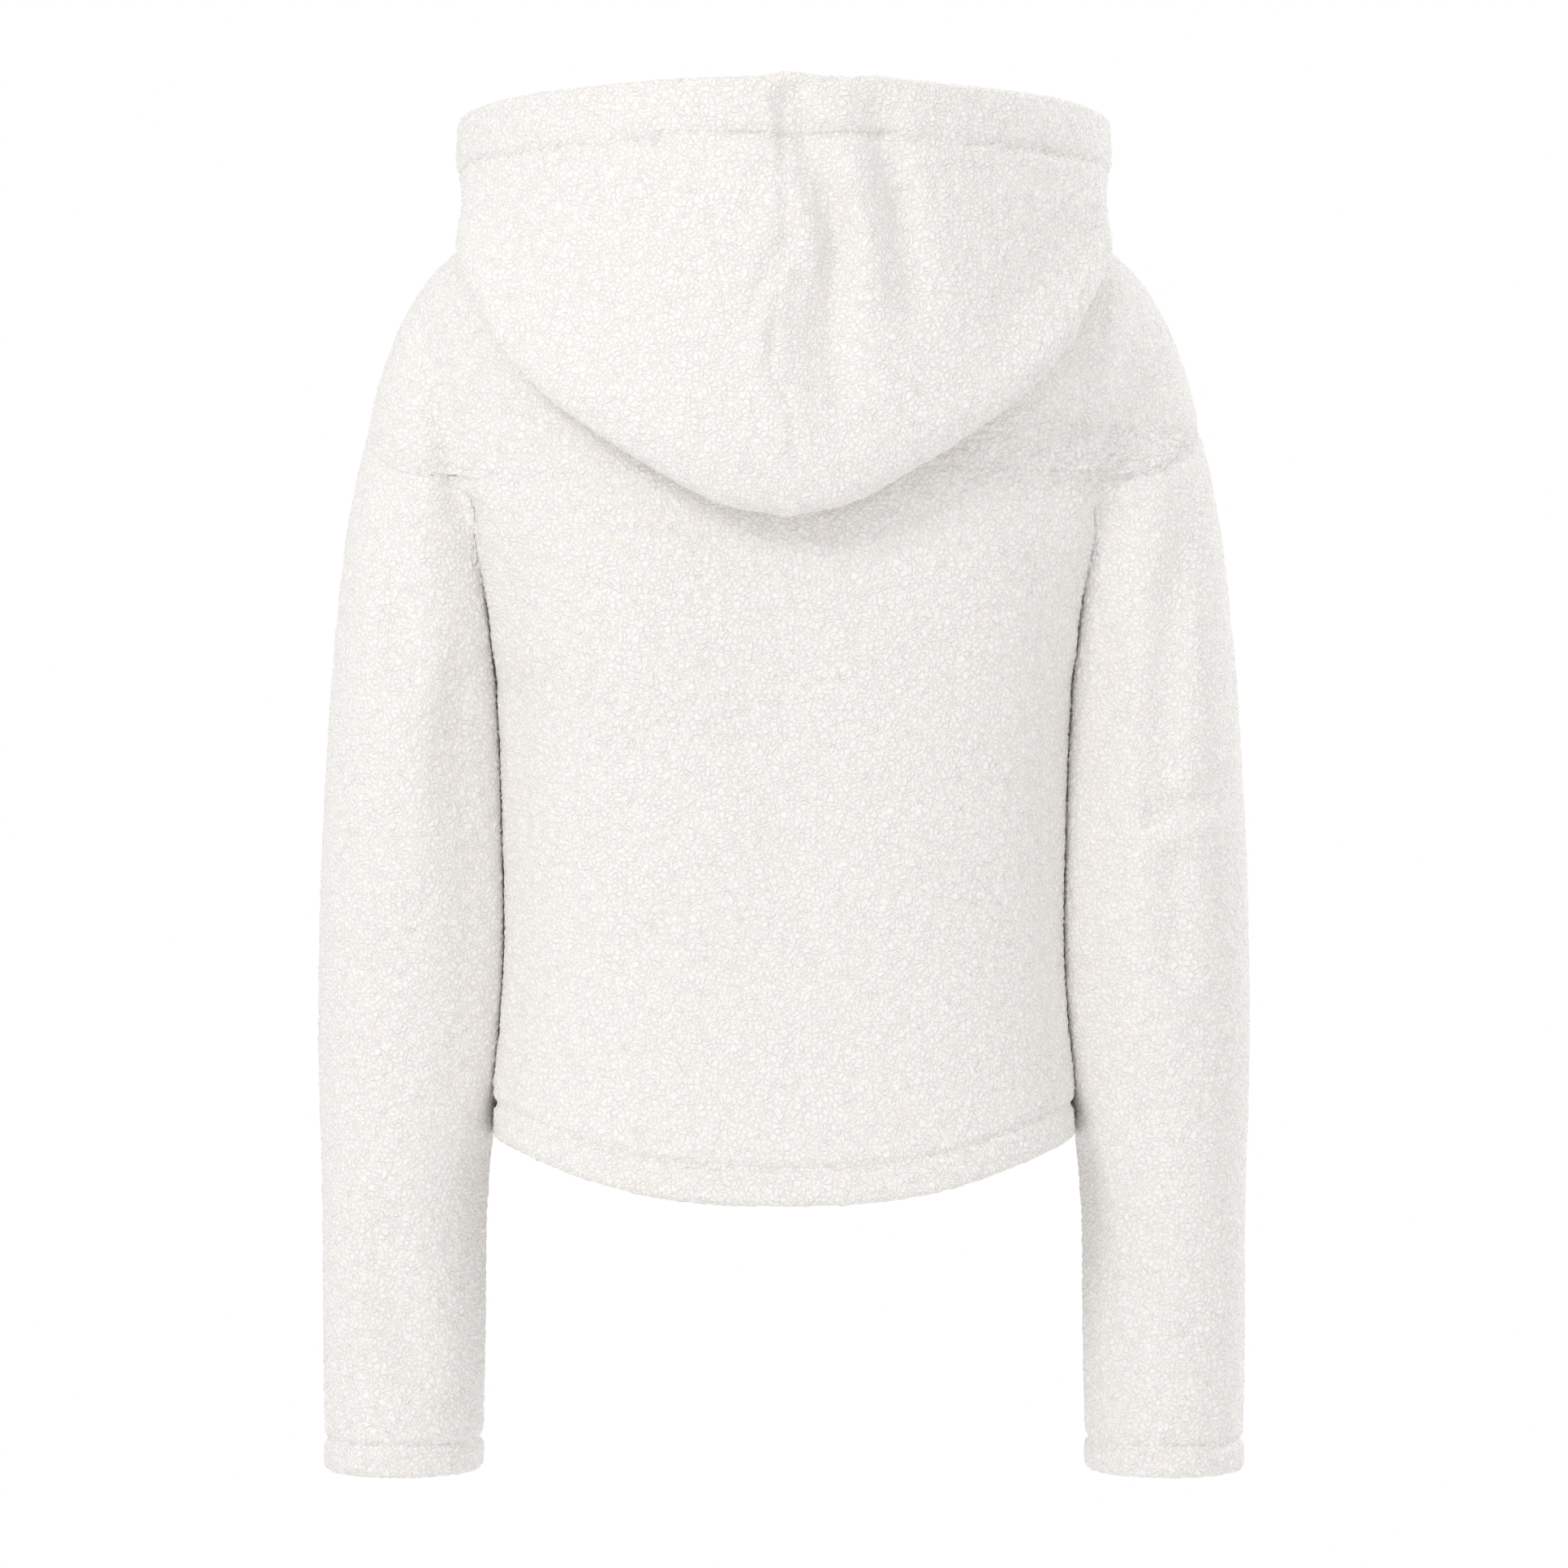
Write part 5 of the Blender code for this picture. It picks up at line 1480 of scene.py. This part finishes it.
def build_slider(form):
    half = SLIDER_LENGTH / 2
    wide, foot = SLIDER_WIDTH / 2, SLIDER_FOOT / 2
    shield = [(-wide, half), (wide, half), (wide, 0.0008), (foot, -half), (-foot, -half), (-wide, 0.0008)]
    outline = rounded_outline(shield, 0.0014)
    inner = SLIDER_GAP / 2
    add_plate(form, outline, -inner - PLATE, -inner, 0.0003)
    add_plate(form, outline, inner, inner + PLATE, 0.0003)
    bridge_z = half - BRIDGE_LENGTH / 2
    add_block(form, (BRIDGE_WIDTH, SLIDER_GAP + PLATE, BRIDGE_LENGTH), (0, 0, bridge_z), 0.0003)
    for side in (-1, 1):
        for face in (-1, 1):
            add_block(
                form,
                (0.0007, 0.0011, 0.0062),
                (side * (foot + 0.0006), face * (inner - 0.0004), -0.0021),
                0.0002,
            )
        root = inner + PLATE / 2
        reach = PIN_OUT + EAR_HALF
        ear = rounded_outline(
            [
                (-reach, PIN_UP - EAR_HALF),
                (-reach, PIN_UP + EAR_HALF),
                (-root, PIN_UP + EAR_FOOT),
                (-root, PIN_UP - EAR_FOOT),
            ],
            0.0011,
        )
        low = side * EAR_INSIDE
        ring = [form.verts.new((low, y, z)) for y, z in ear]
        far = [form.verts.new((low + side * EAR_THICK, y, z)) for y, z in ear]
        form.faces.new(ring)
        form.faces.new(far[::-1])
        for a, b, c, d in zip(ring, ring[1:] + ring[:1], far[1:] + far[:1], far):
            form.faces.new((a, d, c, b))
    add_tube(form, (0, -PIN_OUT, PIN_UP), PIN_RADIUS, 0.0001, EAR_INSIDE + EAR_THICK + 0.0002)


def build_pull(form):
    """The pull around its pin, hanging along -Z."""
    add_tube(form, (0, 0, 0), EYE_RADIUS, EYE_HOLE, EYE_HALF_WIDTH)
    neck = EYE_HALF_WIDTH
    wide = TAB_WIDTH / 2
    side = [
        (-neck, -0.0016),
        (neck, -0.0016),
        (neck, -0.0042),
        (TAB_NECK / 2, -0.0060),
        (wide, -TAB_END + 0.0050),
        (wide, -TAB_END),
        (-wide, -TAB_END),
        (-wide, -TAB_END + 0.0050),
        (-TAB_NECK / 2, -0.0060),
        (-neck, -0.0042),
    ]
    half = TAB_THICK / 2
    add_plate(form, rounded_outline(side, 0.0009), -half, half, 0.0003)
    panel = [(-0.0013, -0.0085), (0.0013, -0.0085), (0.0019, -0.0205), (-0.0019, -0.0205)]
    add_plate(form, rounded_outline(panel, 0.0008), -half - 0.00018, half + 0.00018, 0.0001)


def build_box(form):
    low, high = (Vector(corner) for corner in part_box("zip_box"))
    size = high - low
    add_block(form, size, (low + high) / 2, 0.0006)
    add_block(form, (size.x * 0.6, size.y + 0.0006, 0.0012), (low + high) / 2, 0.0003)


def build_tooth(form):
    """One tooth: a block that narrows towards its head, with a small bump on the head."""
    length, depth, thick = TOOTH_SIZE
    back = length - TOOTH_REACH
    outline = [(-TOOTH_REACH, 0.42), (0.0009, 0.5), (back * 0.6, 0.42), (back, 0.5)]
    lower = [(x, -w * depth) for x, w in outline]
    upper = [(x, w * depth) for x, w in outline[::-1]]
    ring = lower + upper
    a = [form.verts.new((x, y, -thick / 2)) for x, y in ring]
    b = [form.verts.new((x, y, thick / 2)) for x, y in ring]
    form.faces.new(a[::-1])
    form.faces.new(b)
    for k in range(len(ring)):
        n = (k + 1) % len(ring)
        form.faces.new((a[k], a[n], b[n], b[k]))


def strip_line(node, inner_edge):
    """The middle of a strip node's long edge, as its points from the top down."""
    corners = {tuple(round(c, 6) for c in v.co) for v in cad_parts[node].data.vertices}
    reach = max(abs(x) for x, _, _ in corners) / 2
    edge = [c for c in corners if (abs(c[0]) < reach) == inner_edge]
    edge = np.array(sorted(edge, key=lambda c: -c[2]))
    if node == "zip_chain":
        edge = edge[edge[:, 0] > 0]
    return (edge[::2] + edge[1::2]) / 2


def build_tape(node):
    """A tape with a cord along its inner edge, swept down the strip."""
    inner, outer = strip_line(node, True), strip_line(node, False)
    at = run_along(inner[:, None])
    places = np.linspace(0, at[-1], round(at[-1] / 0.004) + 1)
    inner, outer = smooth_read(inner, at, places), smooth_read(outer, at, places)
    across = unit_rows(outer - inner)
    normal = unit_rows(np.cross(across, np.gradient(inner, axis=0)))
    width = np.linalg.norm(outer - inner, axis=1).mean()
    half = TAPE_THICK / 2
    section = [(width, half)] + [(x, -half) for x in (width, 0.75 * width, 0.5 * width, 2 * TAPE_CORD)]
    section += [
        (TAPE_CORD - TAPE_CORD * math.cos(t), -TAPE_CORD * math.sin(t))
        for t in np.linspace(0.8 * math.pi, -0.8 * math.pi, 9)
    ]
    section += [(2 * TAPE_CORD, half), (0.5 * width, half), (0.75 * width, half)]
    section = np.array(section)
    grid = inner[:, None] + section[None, :, :1] * across[:, None] + section[None, :, 1:] * normal[:, None]
    return grid


def ring_mesh(name, grid):
    """A closed mesh through rings of points, with its two ends filled."""
    rows, columns = grid.shape[:2]
    index = np.arange(rows * columns).reshape(rows, columns)
    loop = np.concatenate([index, index[:, :1]], axis=1)
    faces = np.stack([loop[:-1, :-1], loop[:-1, 1:], loop[1:, 1:], loop[1:, :-1]], axis=-1)
    faces = faces.reshape(-1, 4).tolist() + [index[0, ::-1].tolist(), index[-1].tolist()]
    mesh = bpy.data.meshes.new(name)
    mesh.from_pydata(grid.reshape(-1, 3).tolist(), [], faces)
    form = bmesh.new()
    form.from_mesh(mesh)
    bmesh.ops.recalc_face_normals(form, faces=form.faces)
    form.to_mesh(mesh)
    form.free()
    return mesh


def slider_place():
    """Where the slider rides on the zip, as a matrix whose Z runs up along the chain."""
    middle = strip_line("zip_tape_left", True)
    y_low, y_high = (
        np.interp(-(SLIDER_Z + side * SLIDER_LENGTH / 2), -middle[:, 2], middle[:, 1]) for side in (-1, 1)
    )
    slope = math.atan2(y_high - y_low, SLIDER_LENGTH)
    return Matrix.Translation((0, (y_low + y_high) / 2, SLIDER_Z)) @ Matrix.Rotation(-slope, 4, "X")


def stitch_paths(panels):
    """The sewn lines: around each hem, cuff and the hood's opening, and beside the zip."""
    paths = []
    for panel in panels:
        normal = panel.normals()
        skin = panel.skin - normal * THREAD_SINK
        rows = np.abs(panel.from_hem() - panel.hem).argmin(axis=0)
        line = skin[rows, np.arange(skin.shape[1])]
        if panel.ring:
            line = np.concatenate([line, line[:1]])
        paths.append(line)
        if not panel.ring and "fold" in panel.edges:
            away = panel.from_sides()[panel.edges.index("fold")]
            columns = np.abs(away - TOPSTITCH).argmin(axis=1)
            paths.append(skin[np.arange(skin.shape[0]), columns])
    return paths


# Operators


def colour_setting(name, description, hex_colour):
    return bpy.props.FloatVectorProperty(
        name=name, description=description, default=linear(hex_colour), size=4, subtype="COLOR"
    )


class HoodieSettings(bpy.types.PropertyGroup):
    """Sizes and colours that a user would change."""

    grid_spacing: bpy.props.FloatProperty(
        name="Grid spacing", description="Distance between the cloth's points", default=0.0018, unit="LENGTH"
    )
    nub_size: bpy.props.FloatProperty(
        name="Nub size", description="Width of one curl of pile", default=0.0029, unit="LENGTH"
    )
    pile_depth: bpy.props.FloatProperty(
        name="Pile depth", description="How deep the gaps between curls are", default=0.0011, unit="LENGTH"
    )
    tip_colour: colour_setting("Pile tips", "Colour of the curls", "#FBFAF9")
    # This colour is painted shade deep between the curls, not a colour of the cloth.
    painted_gap_shade: colour_setting("Painted gap shade", "Painted shade deep between the curls", "#F1E8DA")
    reverse_colour: colour_setting("Reverse", "Colour of the fleece's knitted reverse", "#F8F6F2")
    tape_colour: colour_setting("Zip tape", "Colour of the tape's ribs", "#F1EEE6")
    metal_colour: colour_setting("Zip metal", "Colour of the plating", "#D2D0CB")
    thread_colour: colour_setting("Thread", "Colour of the sewing thread", "#F7F4EE")


class HOODIE_OT_cloth(bpy.types.Operator):
    """Make the fleece pieces with their creases, seams, hems and pile"""

    bl_idname = "hoodie.cloth"
    bl_label = "Make the cloth"

    def execute(self, context):
        settings = context.scene.hoodie
        spacing = settings.grid_spacing * 1
        tree, sockets = pile_tree(settings.nub_size)
        fleece = fleece_material(settings)
        backing = reverse_material(settings)
        for panel in cloth_panels(spacing):
            source = bpy.data.objects.new(panel.node + "_source", panel.mesh())
            context.scene.collection.objects.link(source)
            modifier = source.modifiers.new("Pile", "NODES")
            modifier.node_group = tree
            modifier[sockets["depth"]] = settings.pile_depth
            modifier[sockets["fleece"]] = fleece
            modifier[sockets["backing"]] = backing
            piece = plain_object(panel.node + "_fleece", source)
            width, length, area = panel.cut()
            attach(piece, BODY)
            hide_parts(panel.node)
            print(piece.name, "cut", round(width, 3), round(length, 3), round(area, 4))
        return {"FINISHED"}


class HOODIE_OT_sewing(bpy.types.Operator):
    """Sew the hems, the cuffs, the hood's opening and the zip's edges"""

    bl_idname = "hoodie.sewing"
    bl_label = "Sew the hems"

    def execute(self, context):
        settings = context.scene.hoodie
        tree, sockets = repeat_tree("Thread stitches")

        def build_stitch(form):
            bmesh.ops.create_uvsphere(form, u_segments=6, v_segments=5, radius=1)
            size = (THREAD_RADIUS, THREAD_RADIUS, STITCH_LENGTH / 2)
            bmesh.ops.scale(form, vec=size, verts=form.verts)

        stitch = shape_object("stitch", build_stitch)
        paths = stitch_paths(cloth_panels(SEWING_SPACING))
        piece = repeated("stitches", tree, sockets, paths, stitch, STITCH_STEP, thread_material(settings))
        bpy.data.objects.remove(stitch, do_unlink=True)
        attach(piece, BODY)
        return {"FINISHED"}


class HOODIE_OT_zip(bpy.types.Operator):
    """Make the zip: its tapes, teeth, bottom box, slider and pull"""

    bl_idname = "hoodie.zip"
    bl_label = "Make the zip"

    def execute(self, context):
        settings = context.scene.hoodie
        metal = metal_material(settings)
        tape = tape_material(settings)
        for node in ("zip_tape_left", "zip_tape_right"):
            piece = bpy.data.objects.new(node + "_woven", ring_mesh(node, build_tape(node)))
            piece.data.materials.append(tape)
            piece.data.shade_smooth()
            piece.data.set_sharp_from_angle(angle=math.radians(50))
            context.scene.collection.objects.link(piece)
            self.settle(piece, node, "zip_tape", BODY)

        tree, sockets = repeat_tree("Zip teeth")
        chain = strip_line("zip_chain", False)
        chain[:, 0] = 0
        tooth = shape_object("tooth", build_tooth)
        sides = []
        for side in (1, -1):
            tooth.data.transform(Matrix.Rotation(math.pi, 4, "Z") if side < 0 else Matrix.Identity(4))
            line = chain.copy()
            if side < 0:
                line[0] += (chain[1] - chain[0]) * TOOTH_PITCH / 2 / np.linalg.norm(chain[1] - chain[0])
            sides.append(repeated(f"teeth_{side}", tree, sockets, [line], tooth, TOOTH_PITCH, metal))
        bpy.data.objects.remove(tooth, do_unlink=True)
        teeth = self.joined("zip_teeth", sides)
        self.settle(teeth, "zip_chain", "zip_metal", BODY)

        place = slider_place()
        pin = Matrix.Translation((0, -PIN_OUT, PIN_UP))
        hung = place @ pin @ Matrix.Rotation(PULL_TILT, 4, "X")
        for name, node, build, matrix, body in (
            ("slider_cast", "zip_slider", build_slider, place, BODY),
            ("pull_cast", "zip_pull", build_pull, hung, "zip_pull"),
            ("box_cast", "zip_box", build_box, Matrix.Identity(4), BODY),
        ):
            piece = shape_object(name, build)
            piece.data.transform(matrix)
            piece.data.materials.append(metal)
            piece.data.shade_smooth()
            piece.data.set_sharp_from_angle(angle=math.radians(38))
            self.settle(piece, node, "zip_metal", body)
        return {"FINISHED"}

    def settle(self, piece, node, slot, body):
        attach(piece, body)
        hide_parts(node)

    def joined(self, name, things):
        form = bmesh.new()
        for thing in things:
            form.from_mesh(thing.data)
        whole = things[0]
        form.to_mesh(whole.data)
        form.free()
        for thing in things[1:]:
            bpy.data.objects.remove(thing, do_unlink=True)
        whole.name = name
        return whole


class HOODIE_OT_stage(bpy.types.Operator):
    """Make the floor, the lights and the camera"""

    bl_idname = "hoodie.stage"
    bl_label = "Make the stage"

    def execute(self, context):
        floor_mesh = bpy.data.meshes.new("floor")
        turns = np.linspace(0, 2 * math.pi, 96, endpoint=False)
        rim = [(FLOOR_SIZE / 2 * math.cos(t), FLOOR_SIZE / 2 * math.sin(t), FLOOR_Z) for t in turns]
        floor_mesh.from_pydata(rim, [], [range(len(rim))])
        floor = bpy.data.objects.new("floor", floor_mesh)
        context.scene.collection.objects.link(floor)
        material, _, shader = new_material("matt_white_floor")
        shader.inputs["Base Color"].default_value = linear("#F4F4F4")
        shader.inputs["Roughness"].default_value = 0.9
        floor_mesh.materials.append(material)

        world = bpy.data.worlds.new("white_room")
        context.scene.world = world
        world.use_nodes = True
        ray = add_node(world.node_tree, "ShaderNodeLightPath")
        seen = add_node(
            world.node_tree,
            "ShaderNodeMapRange",
            {},
            {"Value": ray.outputs["Is Camera Ray"], "To Min": ROOM_LIGHT, "To Max": 1.0},
        )
        background = world.node_tree.nodes["Background"]
        background.inputs["Color"].default_value = (1, 1, 1, 1)
        world.node_tree.links.new(seen.outputs[0], background.inputs["Strength"])
        context.scene.view_settings.view_transform = "Standard"
        for name, place, size, power in LAMPS:
            lamp = bpy.data.lights.new(name, "AREA")
            lamp.size = size
            lamp.energy = power
            thing = bpy.data.objects.new(name, lamp)
            thing.location = place
            thing.rotation_euler = (VIEW_CENTRE - Vector(place)).to_track_quat("-Z", "Y").to_euler()
            context.scene.collection.objects.link(thing)

        camera = bpy.data.cameras.new("camera")
        camera.sensor_width = SENSOR
        camera.lens = SENSOR * CAMERA_DISTANCE / (PHOTO_PIXELS * METRES_PER_PIXEL)
        thing = bpy.data.objects.new("camera", camera)
        thing.location = VIEW_CENTRE + Vector((0, CAMERA_DISTANCE, 0))
        thing.rotation_euler = (math.pi / 2, 0, math.pi)
        context.scene.collection.objects.link(thing)
        context.scene.camera = thing
        return {"FINISHED"}


class HOODIE_PT_panel(bpy.types.Panel):
    """Lists the hoodie's sizes and the steps that make it"""

    bl_idname = "HOODIE_PT_panel"
    bl_label = "Teddy zip hoodie"
    bl_space_type = "VIEW_3D"
    bl_region_type = "UI"
    bl_category = "Hoodie"

    def draw(self, context):
        for name in HoodieSettings.__annotations__:
            self.layout.prop(context.scene.hoodie, name)
        for step in STEPS:
            self.layout.operator(step.bl_idname)


STEPS = (HOODIE_OT_stage, HOODIE_OT_cloth, HOODIE_OT_sewing, HOODIE_OT_zip)
CLASSES = (HoodieSettings, *STEPS, HOODIE_PT_panel)


def register():
    for part in CLASSES:
        bpy.utils.register_class(part)
    bpy.types.Scene.hoodie = bpy.props.PointerProperty(type=HoodieSettings)


def unregister():
    del bpy.types.Scene.hoodie
    for part in reversed(CLASSES):
        bpy.utils.unregister_class(part)


def main():
    register()
    bpy.ops.hoodie.stage()
    bpy.ops.hoodie.cloth()
    bpy.ops.hoodie.sewing()
    bpy.ops.hoodie.zip()


if __name__ == "__main__":
    main()
